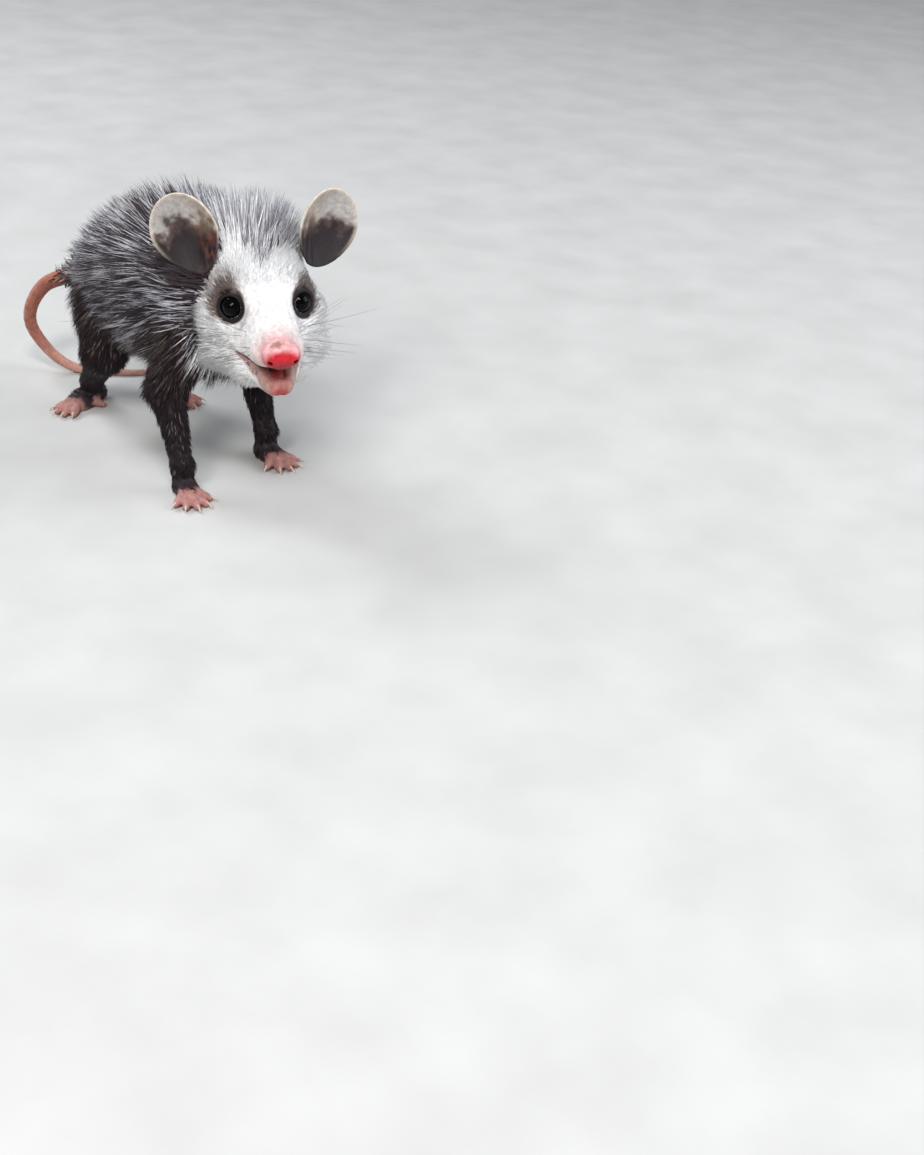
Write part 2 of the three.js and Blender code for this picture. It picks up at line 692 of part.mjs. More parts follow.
const MATERIALS = {
  body_coat: { color: 0x6b625f, roughness: 0.95 },
  face_coat: { color: 0xe8e4e0, roughness: 0.95 },
  leg_coat: { color: 0x35292c, roughness: 0.95 },
  bare_pink: { color: 0xd98f86, roughness: 0.6 },
  nose_red: { color: 0xd2565a, roughness: 0.4 },
  ear_skin: { color: 0x6d625d, roughness: 0.7 },
  eye_black: { color: 0x08070c, roughness: 0.08 },
};

const opossum = new THREE.Group();
const made = [];

// Each part is cut by the slightly larger forms of the parts made before it, which leaves an even gap
function addPart(name, look, shape, trim = (solid) => solid) {
  let solid = trim(shape(0));
  for (const other of made) {
    if (solid.intersect(other.wide).volume() > 1e-6) solid = solid.subtract(other.wide);
  }
  solid = largest(solid);
  made.push({ name, solid, wide: shape(GAP) });
  const material = new THREE.MeshStandardMaterial({ ...MATERIALS[look], metalness: 0 });
  const mesh = new THREE.Mesh(geometryFrom(solid), material);
  mesh.name = name;
  opossum.add(mesh);
}

const SIDES = [[1, 'left'], [-1, 'right']];
for (const [side, word] of SIDES) {
  addPart(`eye_${word}`, 'eye_black', (extra) => inBody(eyeball(side, extra)));
}
addPart('nose', 'nose_red', (extra) => inBody(noseSolid(extra)), (solid) => {
  return SIDES.reduce((rest, [side]) => rest.subtract(inBody(nostril(side))), solid);
});
addPart('head', 'face_coat', (extra) => inBody(headShell(extra)).subtract(behindHead), (solid) => {
  return SIDES.reduce((rest, [side]) => rest.add(inBody(lidRing(side))), solid);
});
addPart('tongue', 'bare_pink', (extra) => inBody(tongueSolid(extra)));
addPart('lower_jaw', 'face_coat', (extra) => inBody(jawSolid(extra)));
for (const [side, word] of SIDES) {
  addPart(`ear_${word}`, 'ear_skin', (extra) => inBody(earSolid(side, extra)));
}

// What the locks stay clear of: the upper legs and the root of the tail where they leave the core
const tailCurve = new THREE.CatmullRomCurve3(TAIL_PATH);
const core = trunkCore(0);
const around = Object.values(LEGS).flatMap((leg) => [upperLeg(leg, GAP * 1.5), lowerLeg(leg, GAP * 1.5)]);
around.push(tailPiece(0, TAIL_CUTS[0], tailCurve, GAP * 1.5));
const outsideCore = around.map((solid) => solid.subtract(core));
const meets = (solid) => outsideCore.some((other) => other.intersect(solid).volume() > 1e-4);

const torsoLocks = coatOfLocks(trunk, { from: 29, to: -60, seed: LOCK.seed, spread: 2.95, lean: 1 });
const neckLocks = coatOfLocks(neckForm, { from: 41, to: 31, seed: LOCK.seed + 1, spread: 1.9, lean: 0.3 });
addPart('torso', 'body_coat', (extra) => trunkCore(extra).subtract(beforeTorso), (solid) => {
  return wasm.Manifold.union([solid, ...torsoLocks.filter((one) => !meets(one))]).subtract(beforeTorso);
});
const neckCore = (extra) => neckSolid(extra).subtract(behindNeck).subtract(beforeNeck);
addPart('neck', 'body_coat', neckCore, (solid) => {
  return wasm.Manifold.union([solid, ...neckLocks]).subtract(behindNeck).subtract(beforeNeck);
});

const floor = solidFrom(new THREE.BoxGeometry(400, 400, 40).translate(0, 0, -20));
const tailLength = tailCurve.getLength();
const stops = [0, ...TAIL_CUTS, 1];
TAIL_NAMES.forEach((name, i) => {
  const half = GAP / tailLength / 2;
  const from = i === 0 ? 0 : stops[i] + half;
  const to = i === TAIL_NAMES.length - 1 ? 1 : stops[i + 1] - half;
  const look = i === 0 ? 'body_coat' : 'bare_pink';
  addPart(name, look, (extra) => tailPiece(from, to, tailCurve, extra), (solid) => solid.subtract(floor));
  made[made.length - 1].wide = tailPiece(from, to, tailCurve, 0);
});

Object.values(LEGS).forEach((leg, i) => {
  const others = made.map((other) => other.solid);
  const near = [...others, lowerLeg(leg, GAP)];
  const clear = legLocks(leg, LOCK.seed + 10 + i).filter(
    ({ wide }) => !near.some((other) => other.intersect(wide).volume() > 1e-4),
  );
  addPart(leg.names[0], 'leg_coat', (extra) => upperLeg(leg, extra), (solid) => {
    return wasm.Manifold.union([solid, ...clear.map((one) => one.solid)]);
  });
  addPart(leg.names[1], 'leg_coat', (extra) => lowerLeg(leg, extra));
  addPart(leg.names[2], 'bare_pink', (extra) => footSolid(leg, extra));
});

// The origin is on the ground under the middle of the model
const box = new THREE.Box3().setFromObject(opossum);
const middle = box.getCenter(new THREE.Vector3());
opossum.position.set(-middle.x, -middle.y, -box.min.z);

export default opossum;
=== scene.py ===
"""A young Virginia opossum: one skin over the whole body, and a coat of mesh hairs that follows it.

The forms repeat the named sizes of the solids, so each surface lies where the frame says. Only the mouth
differs: the lower jaw and the tongue lie about a millimetre higher here. Lengths are in millimetres and
angles in degrees. In the functions p holds places, in the head's own frame for the forms of the head, q the
same places moved, turned or mirrored for a form, n the skin's normals there, and d distances to a surface,
which are negative inside it.
"""

import math

import bmesh
import bpy
import numpy as np
from mathutils import Matrix, Vector, kdtree


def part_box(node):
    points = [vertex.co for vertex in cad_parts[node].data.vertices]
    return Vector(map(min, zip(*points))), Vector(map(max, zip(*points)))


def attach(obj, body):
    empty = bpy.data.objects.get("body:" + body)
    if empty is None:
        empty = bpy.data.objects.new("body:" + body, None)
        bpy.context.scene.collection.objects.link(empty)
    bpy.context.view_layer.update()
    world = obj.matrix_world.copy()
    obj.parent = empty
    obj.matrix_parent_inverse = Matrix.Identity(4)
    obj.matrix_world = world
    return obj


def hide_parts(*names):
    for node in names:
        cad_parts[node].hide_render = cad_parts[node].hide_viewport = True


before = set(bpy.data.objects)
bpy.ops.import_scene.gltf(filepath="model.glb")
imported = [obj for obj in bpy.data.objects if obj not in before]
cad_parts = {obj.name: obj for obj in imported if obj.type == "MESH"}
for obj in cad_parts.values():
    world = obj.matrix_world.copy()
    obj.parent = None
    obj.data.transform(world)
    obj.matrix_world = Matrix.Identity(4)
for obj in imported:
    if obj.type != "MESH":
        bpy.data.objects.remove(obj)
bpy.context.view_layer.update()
MM = 0.001
rng = np.random.default_rng(11)

# Trunk: centre and radius of the bare body at each place along the spine, from the neck to the rump
SPINE = [
    ((44, 5.5, 75), 15),
    ((32, 3.5, 71.5), 18),
    ((20, 2, 67.5), 22.2),
    ((0, 0.5, 65), 23.7),
    ((-22, 0, 59.5), 21),
    ((-39, -0.5, 54.5), 16),
    ((-53, -2.5, 50.5), 9.5),
    ((-62, -4, 48.5), 5.5),
]
TRUNK_WIDTH = 0.86
COAT_BACK, COAT_FLANK, COAT_BELLY = 13.5, 7.5, 9.0

# Head: its own frame has the origin midway between the eyes and +X along the muzzle
HEAD_AT = np.array([56.0, -1.0, 75.0])
HEAD_YAW, HEAD_PITCH, HEAD_ROLL = -24, 2, 1.5
HEAD_LOW, HEAD_HIGH = (-36, -36, -26), (38, 36, 40)
EYE_AT = np.array([0.0, 11.3, 0.0])
EYE_RADIUS, EYE_YAW, EYE_PITCH = 4.3, 33, -10
EYE_GAP, CORNEA_BULGE = 0.12, 0.045
SOCKET_RADIUS, SOCKET_OUT = 7.0, 7.6
LID_RING, LID_OUT, LID_THICKNESS = 4.5, 1.9, 0.8
EAR_HEIGHT, EAR_WIDTH, EAR_THICKNESS, EAR_CUP = 29.0, 25.0, 1.1, 6.5
EAR_BASE = {1: (-15.5, 20.5, 8.4), -1: (-15.5, -20.5, 9.8)}
LEFT_RIGHT = (1, -1)

# Legs: joints and radii with the short coat on, from the trunk to the toes
LEGS = {
    "fore_right": dict(
        root=(25, -12, 58), bend=(20, -21, 35), end=(35.5, -24.5, 11), radii=(11, 7.3, 4.8),
        foot=(38, -25, 0), heading=-14, hind=False, side=-1,
    ),
    "fore_left": dict(
        root=(24, 13, 58), bend=(13, 20, 35), end=(26, 18, 11), radii=(11, 7.3, 4.8),
        foot=(28.5, 17.5, 0), heading=4, hind=False, side=1,
    ),
    "hind_right": dict(
        root=(-42, -10, 49), bend=(-32, -18.5, 31), end=(-53, -13.5, 11.5), radii=(12.5, 8.6, 5),
        foot=(-56.5, -14, 0), heading=-66, hind=True, side=-1,
    ),
    "hind_left": dict(
        root=(-42, 9, 49), bend=(-30, 18, 32), end=(-47, 14, 11.5), radii=(12.5, 8.6, 5),
        foot=(-44.5, 15, 0), heading=14, hind=True, side=1,
    ),
}
LEG_COAT = 1.2

# Toes: the angle off the foot's heading and the length of each
FORE_TOES = [(58, 6.4), (26, 8.0), (2, 8.6), (-22, 8.2), (-50, 6.6)]
HIND_TOES = [(96, 8.0), (24, 8.8), (4, 9.6), (-16, 9.4), (-38, 8.0)]
TOE_RADII = (1.7, 1.75, 1.45, 1.2)

# Tail: the middle line and the radius along it
TAIL_PATH = [
    (-60, -4, 49.5), (-70, -4, 49), (-78.5, -4.5, 47), (-86.5, -7.5, 43.5), (-94.5, -11.5, 38.5),
    (-99.5, -15.3, 29.5), (-101.5, -15.5, 20.5), (-99.5, -12, 12), (-93.5, -8.2, 6), (-88.5, -3, 2.4),
    (-83, 3, 1.2), (-77, 10, 1), (-72, 18, 0.8), (-70, 28, 0.6), (-74, 38, 0.4),
]
TAIL_ROOT, TAIL_MIDDLE, TAIL_TIP = 4.2, 2.4, 0.8
TAIL_FLAT = 0.15
TAIL_STEPS, TAIL_RINGS = 46, 150

# Fineness of the skin, and how many hairs there are to a square millimetre of each region
VOXEL = 0.6
SKIN_LOW, SKIN_HIGH = np.array([-108.0, -44, -3]), np.array([92.0, 46, 118])
HAIRS = {"guard": 2.3, "under": 1.9, "head": 8.0, "leg": 3.0}


# Small vector and field helpers
def smooth(low, high, x):
    """A soft step from 0 at low to 1 at high."""
    t = np.clip((x - low) / (high - low), 0, 1)
    return t * t * (3 - 2 * t)


def unit(v):
    return v / np.maximum(np.linalg.norm(v, axis=-1, keepdims=True), 1e-9)


def mix(a, b, t):
    t = np.asarray(t)[..., None]
    return a * (1 - t) + b * t


def layered(colour, *coats):
    """The colour with each coat, a colour and its share, laid over it in turn."""
    for coat, share in coats:
        colour = mix(colour, coat, share)
    return colour


def ellipsoid(p, centre, radii):
    radii = np.asarray(radii, np.float32)
    q = (p - np.asarray(centre, np.float32)) / radii
    near = np.linalg.norm(q, axis=1)
    slope = np.linalg.norm(q / radii, axis=1)
    return near * (near - 1) / np.maximum(slope, 1e-6)


def limb(p, a, b, ra, rb):
    """Distance to a round cone with a sphere of radius ra at a and one of radius rb at b."""
    a, b = np.asarray(a, np.float32), np.asarray(b, np.float32)
    axis = b - a
    length = float(np.linalg.norm(axis))
    axis = axis / length
    share = (ra - rb) / length
    slant = math.sqrt(max(1e-6, 1 - share * share))
    from_a = p - a
    along = from_a @ axis
    out = np.sqrt(np.maximum(0, (from_a * from_a).sum(1) - along * along))
    k = -share * out + slant * along
    side = out * slant + along * share - ra
    cap_a = np.hypot(out, along) - ra
    cap_b = np.hypot(out, along - length) - rb
    return np.where(k < 0, cap_a, np.where(k > slant * length, cap_b, side))


def blend(k, *forms):
    """The forms joined, with a fillet of about the size k where they meet."""
    d = forms[0]
    for e in forms[1:]:
        h = np.maximum(k - np.abs(d - e), 0) / k
        d = np.minimum(d, e) - h * h * k / 4
    return d


def carve(k, d, cutter):
    return -blend(k, -d, cutter)


def chain(p, stations, k):
    """Round cones from one station, a centre and a radius, to the next."""
    return blend(k, *(limb(p, a, b, ra, rb) for (a, ra), (b, rb) in zip(stations, stations[1:])))


def within(p, low, high, form, pad=8.0):
    """The form's distance near its own box, and a safe large distance elsewhere."""
    keep = np.all((p > np.asarray(low) - pad) & (p < np.asarray(high) + pad), axis=1)
    d = np.full(len(p), pad, np.float32)
    if keep.any():
        d[keep] = form(p[keep])
    return d


def noise(p, scale, seed):
    """Smooth value noise from -1 to 1."""
    q = p / scale
    cell = np.floor(q).astype(np.int64)
    f = q - cell
    f = f * f * (3 - 2 * f)
    total = np.zeros(len(p))
    for corner in np.ndindex(2, 2, 2):
        h = ((cell + corner) * (73856093, 19349663, 83492791)).T
        h = h[0] ^ h[1] ^ h[2] ^ (seed * 2654435761)
        h = (h ^ (h >> 13)) * 1274126177
        value = ((h ^ (h >> 16)) & 0xFFFF) / 32767.5 - 1
        share = np.where(corner, f, 1 - f)
        total += value * (share[:, 0] * share[:, 1]) * share[:, 2]
    return total


def catmull(points, samples):
    """Points spread evenly by length along a smooth curve through the given ones."""
    pts = np.asarray(points, float)
    ends = np.vstack([2 * pts[0] - pts[1], pts, 2 * pts[-1] - pts[-2]])
    t = np.linspace(0, 1, 24, endpoint=False)[:, None]
    fine = []
    for i in range(len(pts) - 1):
        p0, p1, p2, p3 = ends[i : i + 4]
        square = (2 * p0 - 5 * p1 + 4 * p2 - p3) * t**2
        cube = (3 * p1 - p0 - 3 * p2 + p3) * t**3
        fine.append(0.5 * (2 * p1 + (p2 - p0) * t + square + cube))
    fine = np.vstack(fine + [pts[-1:]])
    far = np.concatenate([[0], np.cumsum(np.linalg.norm(np.diff(fine, axis=0), axis=1))])
    at = np.linspace(0, far[-1], samples)
    return np.stack([np.interp(at, far, fine[:, i]) for i in range(3)], 1)


def bezier(a, b, c, count):
    t = np.linspace(0, 1, count)[:, None]
    return (1 - t) ** 2 * np.asarray(a) + 2 * t * (1 - t) * np.asarray(b) + t * t * np.asarray(c)


# Frames of the head and of each eye and ear
def turn(yaw, pitch, roll):
    return np.array(
        Matrix.Rotation(math.radians(yaw), 3, "Z")
        @ Matrix.Rotation(math.radians(pitch), 3, "Y")
        @ Matrix.Rotation(math.radians(roll), 3, "X")
    )


HEAD_TURN = turn(HEAD_YAW, HEAD_PITCH, HEAD_ROLL)


def to_head(p):
    return (p - HEAD_AT) @ HEAD_TURN


def from_head(p):
    return np.asarray(p) @ HEAD_TURN.T + HEAD_AT


def mirrored(p):
    return p * (1, 0, 1) + np.abs(p) * (0, 1, 0)


def eye_turn(side):
    return turn(side * EYE_YAW, EYE_PITCH, 0)


def eye_space(p, side):
    return (p - EYE_AT * (1, side, 1)) @ eye_turn(side)


def ear_space(p, side):
    """Across and up the ear from -1 to 1, how far in front of its curved sheet, and how far from its axis."""
    stand = unit(np.array([-0.12, side * 0.3, 0.95]))
    facing = unit(np.array([0.86, side * 0.42, 0.06]))
    across = unit(np.cross(stand, facing))
    face = unit(np.cross(across, stand))
    q = p - np.array(EAR_BASE[side])
    w = (q @ stand + 2) / (0.5 * EAR_HEIGHT) - 1
    egg = 1 - 0.16 * np.clip(-w, 0, 1)
    u = q @ across / (0.5 * EAR_WIDTH * egg)
    rho = np.hypot(u, w)
    bow = np.where(w < 0, -2.2, -1.4) * np.clip(w, -1.3, 1.3) ** 2
    depth = EAR_CUP * (np.minimum(rho, 1.3) ** 2 - 1) + bow
    fold = 0.9 * np.exp(-(((u * side + 0.55) / 0.12) ** 2)) * smooth(0.1, -0.5, w)
    fold += 0.7 * np.exp(-(((u * side + 0.25) / 0.1) ** 2)) * smooth(-0.2, -0.7, w)
    return u, w, q @ face - depth - 2.4 - fold, rho


def ear_distance(p, side):
    _, _, front, rho = ear_space(p, side)
    slope = 1 / np.sqrt(1 + (2 * EAR_CUP * rho / 13.0) ** 2)
    half = EAR_THICKNESS / 2 * (1.2 - 0.4 * np.minimum(rho, 1))
    rim = np.maximum((rho - 1) * 12.4 + half, 0)
    return np.hypot(front * slope, rim) - half


def nearest_ear(q):
    return np.minimum(ear_distance(q, 1), ear_distance(q, -1))


# The body's forms
SPINE_X = np.array([-s[0][0] for s in SPINE], float)
SPINE_AT = np.array([s[0] for s in SPINE], float)


def near_spine(p):
    return np.stack([np.interp(-p[:, 0], SPINE_X, SPINE_AT[:, i]) for i in range(3)], 1)


def trunk(p):
    q = p / (1, TRUNK_WIDTH, 1)
    wide = [((x, y / TRUNK_WIDTH, z), r) for (x, y, z), r in SPINE]
    return chain(q.astype(np.float32), wide, 5) * TRUNK_WIDTH


def coat_depth(p):
    """How deep the long coat is at a place on the trunk."""
    out = p - near_spine(p)
    rise = out[:, 2] / (np.hypot(out[:, 1], out[:, 2]) + 1e-6)
    upper = COAT_FLANK + (COAT_BACK - COAT_FLANK) * smooth(0, 0.9, rise)
    lower = COAT_FLANK + (COAT_BELLY - COAT_FLANK) * smooth(0, 0.8, -rise)
    neck = 1 - 0.45 * smooth(34, 50, p[:, 0])
    rump = 1 - 0.2 * smooth(12, 40, -p[:, 0])
    tail_root = 1 - 0.55 * smooth(48, 70, -p[:, 0])
    return np.where(rise > 0, upper, lower) * neck * rump * tail_root


def skull(p):
    q = mirrored(p)
    crown = ellipsoid(q, (-15, 0, 1), (17.5, 14.5, 13.5))
    cheek = ellipsoid(q, (-8, 8.2, -6), (13.5, 10, 11.5))
    muzzle = limb(q, (2, 0, -2.8), (27, 0, -6.4), 11, 5.6)
    brow = ellipsoid(q, (-5, 5, 3), (8, 7.9, 6.5))
    upper_jaw = limb(q, (-8, 8, -12), (17, 2.5, -11), 9.5, 4.6)
    whisker_pad = ellipsoid(q, (19, 4.8, -8.6), (9.5, 4.4, 4))
    return blend(3, blend(7, crown, cheek, muzzle, brow, upper_jaw), whisker_pad)


def jaw(p):
    q = mirrored(p)
    back = limb(q, (-6, 7.5, -17), (10, 5.2, -19.2), 6, 4.4)
    front = limb(q, (10, 5.2, -19.2), (24.2, 1.4, -19.9), 4.4, 3.5)
    floor_of_mouth = limb(q, (-4, 0, -18.5), (20, 0, -20.2), 6, 3.6)
    return blend(4, back, front, floor_of_mouth)


def mouth_slot(p):
    """A wedge that opens towards the front, between the lips."""
    opening = smooth(6, 27, p[:, 0])
    half = 0.25 + 1.45 * opening
    middle = -13.9 - 1.7 * opening
    return np.maximum(np.abs(p[:, 2] - middle) - half, 5.5 - p[:, 0])


def below_lip(p):
    """How far a place is below the lower lip's edge."""
    return -14.15 - 3.15 * smooth(6, 27, p[:, 0]) - p[:, 2]


def tongue(p):
    return limb(p * (1, 0.75, 1), (8, 0, -16.4), (22.6, 0, -18.6), 2.4, 1.8)


def nose_pad(p):
    q = mirrored(p)
    pad = ellipsoid(q, (31, 0, -5.6), (4.2, 6, 4.7))
    wings = ellipsoid(q, (31.4, 3.6, -6), (3.2, 2.6, 3.2))
    return blend(1.6, pad, wings)


def nostrils(p):
    return limb(mirrored(p), (35.6, 5.3, -7.9), (32.4, 3.4, -6.8), 1.0, 0.6)


def lids(p, side):
    """The thick rims of the upper and lower lid, round the eyeball."""
    q = eye_space(p, side)
    ring = np.hypot(q[:, 1] / 1.04, q[:, 2] / 0.94) - LID_RING
    return np.hypot(ring, q[:, 0] - LID_OUT) - LID_THICKNESS


def head(p):
    """The head in its own frame."""
    d = skull(p)
    for side in LEFT_RIGHT:
        socket = EYE_AT * (1, side, 1) + eye_turn(side)[:, 0] * SOCKET_OUT
        d = carve(3, d, ellipsoid(p, socket, (SOCKET_RADIUS,) * 3))
        d = blend(1.2, d, lids(p, side))
    d = blend(2.8, d, nose_pad(p))
    d = blend(2.2, d, jaw(p))
    d = carve(0.8, d, mouth_slot(p))
    d = carve(0.5, d, np.abs(tongue(p) - 0.2) - 0.22)
    d = np.minimum(d, tongue(p))
    groove = limb(p, (36.6, 0, -5), (34.6, 0, -11), 0.45, 0.5)
    d = carve(0.7, d, np.minimum(nostrils(p), groove))
    for side in LEFT_RIGHT:
        near, far = sorted((8 * side, 40 * side))
        d = blend(2.4, d, within(p, (-32, near, 0), (8, far, 40), lambda q: ear_distance(q, side)))
        d = carve(0.3, d, ellipsoid(p, EYE_AT * (1, side, 1), (EYE_RADIUS + EYE_GAP,) * 3))
    return d


def head_field(q):
    return within(q.astype(np.float32), HEAD_LOW, HEAD_HIGH, head)


def foot_frame(leg):
    """The foot's heading in radians, and the middles of its heel and ball."""
    heading = math.radians(leg["heading"])
    ahead = np.array([math.cos(heading), math.sin(heading), 0])
    foot_at = np.array(leg["foot"], float)
    heel = foot_at + ahead * (-6.5 if leg["hind"] else -3.5) + (0, 0, 3)
    ball = foot_at + ahead * (5.5 if leg["hind"] else 3.5) + (0, 0, 2.4)
    return heading, heel, ball


def toes(leg):
    """For each toe: its path from the root to the tip, its direction, and whether it's the clawless thumb."""
    heading, heel, ball = foot_frame(leg)
    for spread, length in HIND_TOES if leg["hind"] else FORE_TOES:
        thumb = leg["hind"] and spread > 90
        angle = heading - leg["side"] * math.radians(spread)
        out = np.array([math.cos(angle), math.sin(angle), 0])
        root = ball + out * (-1 if thumb else 1.5)
        if thumb:
            root = root * 0.65 + heel * 0.35
        steps = ((0, 2.3), (0.35, 2.9), (0.72, 2.0), (1, 1.4))
        path = [np.array([*(root + out * length * share)[:2], z]) for share, z in steps]
        yield path, out, thumb


def on_toes(p):
    """Distance to the nearest toe, from its first joint on."""
    near = np.full(len(p), 99.0)
    for leg in LEGS.values():
        for path, _, _ in toes(leg):
            for a, b in zip(path[1:], path[2:]):
                near = np.minimum(near, limb(p.astype(np.float32), a, b, 1.6, 1.4))
    return near


def foot(p, leg):
    _, heel, ball = foot_frame(leg)
    mid = heel * 0.75 + ball * 0.25
    mid[2] = 3.4
    sole = limb(p, heel, ball, *((3.4, 4.7) if leg["hind"] else (3.2, 4.1)))
    ankle = limb(p, leg["end"], mid, (leg["radii"][2] - LEG_COAT * 0.5) * 0.93, 3.4)
    digits = [chain(p, list(zip(path, TOE_RADII)), 0.8) for path, _, _ in toes(leg)]
    return blend(1.2, blend(3.5, sole, ankle), *digits)


def leg_form(p, leg):
    root, bend, end = leg["root"], leg["bend"], leg["end"]
    ra, rb, rc = (r - LEG_COAT for r in leg["radii"])
    upper = limb(p, root, bend, ra, rb)
    lower = limb(p, bend, end, rb * 0.94, rc)
    reach = np.array([leg["foot"], leg["end"]], float)
    low, high = reach.min(0) - 16, reach.max(0) + (16, 16, 4)
    return blend(2.5, blend(4, upper, lower), within(p, low, high, lambda q: foot(q, leg)))


def tail_radius(t):
    near = TAIL_ROOT + (TAIL_MIDDLE - TAIL_ROOT) * np.minimum(t / 0.5, 1) ** 0.7
    far = TAIL_MIDDLE + (TAIL_TIP - TAIL_MIDDLE) * (t - 0.5) / 0.5
    return np.where(t < 0.5, near, far)


TAIL_T = np.linspace(0, 1, TAIL_STEPS)
TAIL_LINE = catmull(TAIL_PATH, TAIL_STEPS)
TAIL_R = tail_radius(TAIL_T)
TAIL_LINE[:, 2] = np.maximum(TAIL_LINE[:, 2], TAIL_R - TAIL_FLAT)
TAIL_PIECES = list(zip(TAIL_T, TAIL_LINE, TAIL_LINE[1:], TAIL_R.tolist(), TAIL_R[1:].tolist()))


def tail(p):
    d = np.full(len(p), 8.0, np.float32)
    for _, a, b, ra, rb in TAIL_PIECES:
        low, high = np.minimum(a, b) - 4.5, np.maximum(a, b) + 4.5
        d = np.minimum(d, within(p, low, high, lambda q: limb(q, a, b, ra, rb), pad=4.0))
    return d


def body(p):
    """The whole skin."""
    p = np.asarray(p, np.float32)
    d = within(p, (-70, -32, 26), (64, 34, 94), trunk)
    d = blend(6, d, head_field(to_head(p)))
    for leg in LEGS.values():
        span = np.array([leg["root"], leg["bend"], leg["end"], leg["foot"]], float)
        d = blend(5, d, within(p, span.min(0) - 16, span.max(0) + 16, lambda q: leg_form(q, leg)))
    d = blend(3, d, tail(p))
    return np.maximum(d, -p[:, 2])


def gradient(form, p, e=0.12):
    g = np.stack([form(p + np.eye(3)[i] * e) - form(p - np.eye(3)[i] * e) for i in range(3)], 1)
    return g / (2 * e)


# The skin: a surface net on a fine grid, evaluated only near the surface
def shifted(grid, corner, size):
    """The part of the grid that has this size and starts at this corner."""
    return grid[tuple(slice(c, c + s) for c, s in zip(corner, size))]


def surface_net(form, low, high, step):
    """Vertices and quads of the form's surface inside a box."""
    fine = 4
    count = np.ceil((high - low) / (step * fine)).astype(int)
    axes = [low[i] + np.arange(count[i] + 1) * step * fine for i in range(3)]
    coarse = np.stack(np.meshgrid(*axes, indexing="ij"), -1).reshape(-1, 3)
    far = np.concatenate([form(part) for part in np.array_split(coarse, 8)]).reshape(count + 1)
    close = np.abs(far) < step * fine * 1.25
    cells = np.zeros(count, bool)
    inner = np.zeros(count, bool)
    for corner in np.ndindex(2, 2, 2):
        cells |= shifted(close, corner, count)
        inner |= shifted(far, corner, count) < 0
    n = count * fine
    values = np.where(inner, -1.0, 1.0).astype(np.float32)
    for axis in range(3):
        values = values.repeat(fine, axis)
        cells = cells.repeat(fine, axis)
    ix = np.argwhere(cells)
    points = low + ix * step
    values[tuple(ix.T)] = np.concatenate([form(part) for part in np.array_split(points, 24)])
    sign = values < 0
    mixed = sum(shifted(sign, corner, n - 1).astype(np.int8) for corner in np.ndindex(2, 2, 2))
    at = np.argwhere((mixed > 0) & (mixed < 8))
    number = np.full(n - 1, -1, np.int64)
    number[tuple(at.T)] = np.arange(len(at))
    total = np.zeros((len(at), 3))
    weight = np.zeros(len(at))
    for a in (np.array(c) for c in np.ndindex(2, 2, 2)):
        for axis in range(3):
            if a[axis]:
                continue
            b = a.copy()
            b[axis] = 1
            va, vb = values[tuple((at + a).T)], values[tuple((at + b).T)]
            cross = (va < 0) != (vb < 0)
            t = np.where(cross, va / np.where(cross, va - vb, 1), 0)
            total += np.where(cross[:, None], a + (b - a) * t[:, None], 0)
            weight += cross
    vertices = low + (at + total / weight[:, None]) * step
    quads = []
    for axis in range(3):
        i, j = [k for k in range(3) if k != axis]
        ahead = np.eye(3, dtype=int)
        first = shifted(sign, (0, 0, 0), n - 1)
        second = shifted(sign, ahead[axis], n - 1)
        edge = np.argwhere(first != second)
        edge = edge[(edge[:, i] > 0) & (edge[:, j] > 0)]
        out = first[tuple(edge.T)]
        ring = [edge - ahead[i] - ahead[j], edge - ahead[j], edge, edge - ahead[i]]
        face = np.stack([number[tuple(c.T)] for c in ring], 1)
        turned = ~out if axis != 1 else out
        face[turned] = face[turned][:, ::-1]
        quads.append(face[(face >= 0).all(1)])
    return vertices, np.vstack(quads)


def onto_surface(vertices, rounds):
    for _ in range(rounds):
        g = gradient(body, vertices)
        size = np.maximum((g * g).sum(1, keepdims=True), 0.25)
        move = -body(vertices)[:, None] * g / size
        vertices = vertices + np.clip(move, -VOXEL, VOXEL)
    return vertices


# Where the solids were shifted to, from the frame's own left eye
eye_low, eye_high = (np.array(v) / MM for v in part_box("eye_left"))
SHIFT = (eye_low + eye_high) / 2 - from_head(EYE_AT)


def make_mesh(name, vertices, faces, colours=None, extras=None, checked=True):
    """A mesh object from numpy arrays, in millimetres of the body's frame."""
    faces = np.asarray(faces)
    mesh = bpy.data.meshes.new(name)
    mesh.vertices.add(len(vertices))
    mesh.vertices.foreach_set("co", ((vertices + SHIFT) * MM).astype(np.float32).ravel())
    sides = faces.shape[1]
    mesh.loops.add(faces.size)
    mesh.loops.foreach_set("vertex_index", faces.astype(np.int32).ravel())
    mesh.polygons.add(len(faces))
    mesh.polygons.foreach_set("loop_start", np.arange(0, faces.size, sides, dtype=np.int32))
    mesh.polygons.foreach_set("loop_total", np.full(len(faces), sides, np.int32))
    mesh.update(calc_edges=True)
    if checked:
        mesh.validate()
    if colours is not None:
        layer = mesh.attributes.new("tint", "FLOAT_COLOR", "POINT")
        rgba = np.ones((len(vertices), 4), np.float32)
        rgba[:, :3] = colours
        layer.data.foreach_set("color", rgba.ravel())
    for key, value in (extras or {}).items():
        layer = mesh.attributes.new(key, "FLOAT", "POINT")
        layer.data.foreach_set("value", np.asarray(value, np.float32))
    mesh.shade_smooth()
    piece = bpy.data.objects.new(name, mesh)
    bpy.context.scene.collection.objects.link(piece)
    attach(piece, "root")
    return piece


# Colours of the skin and the coat
def rgb(*parts):
    return np.array(parts)


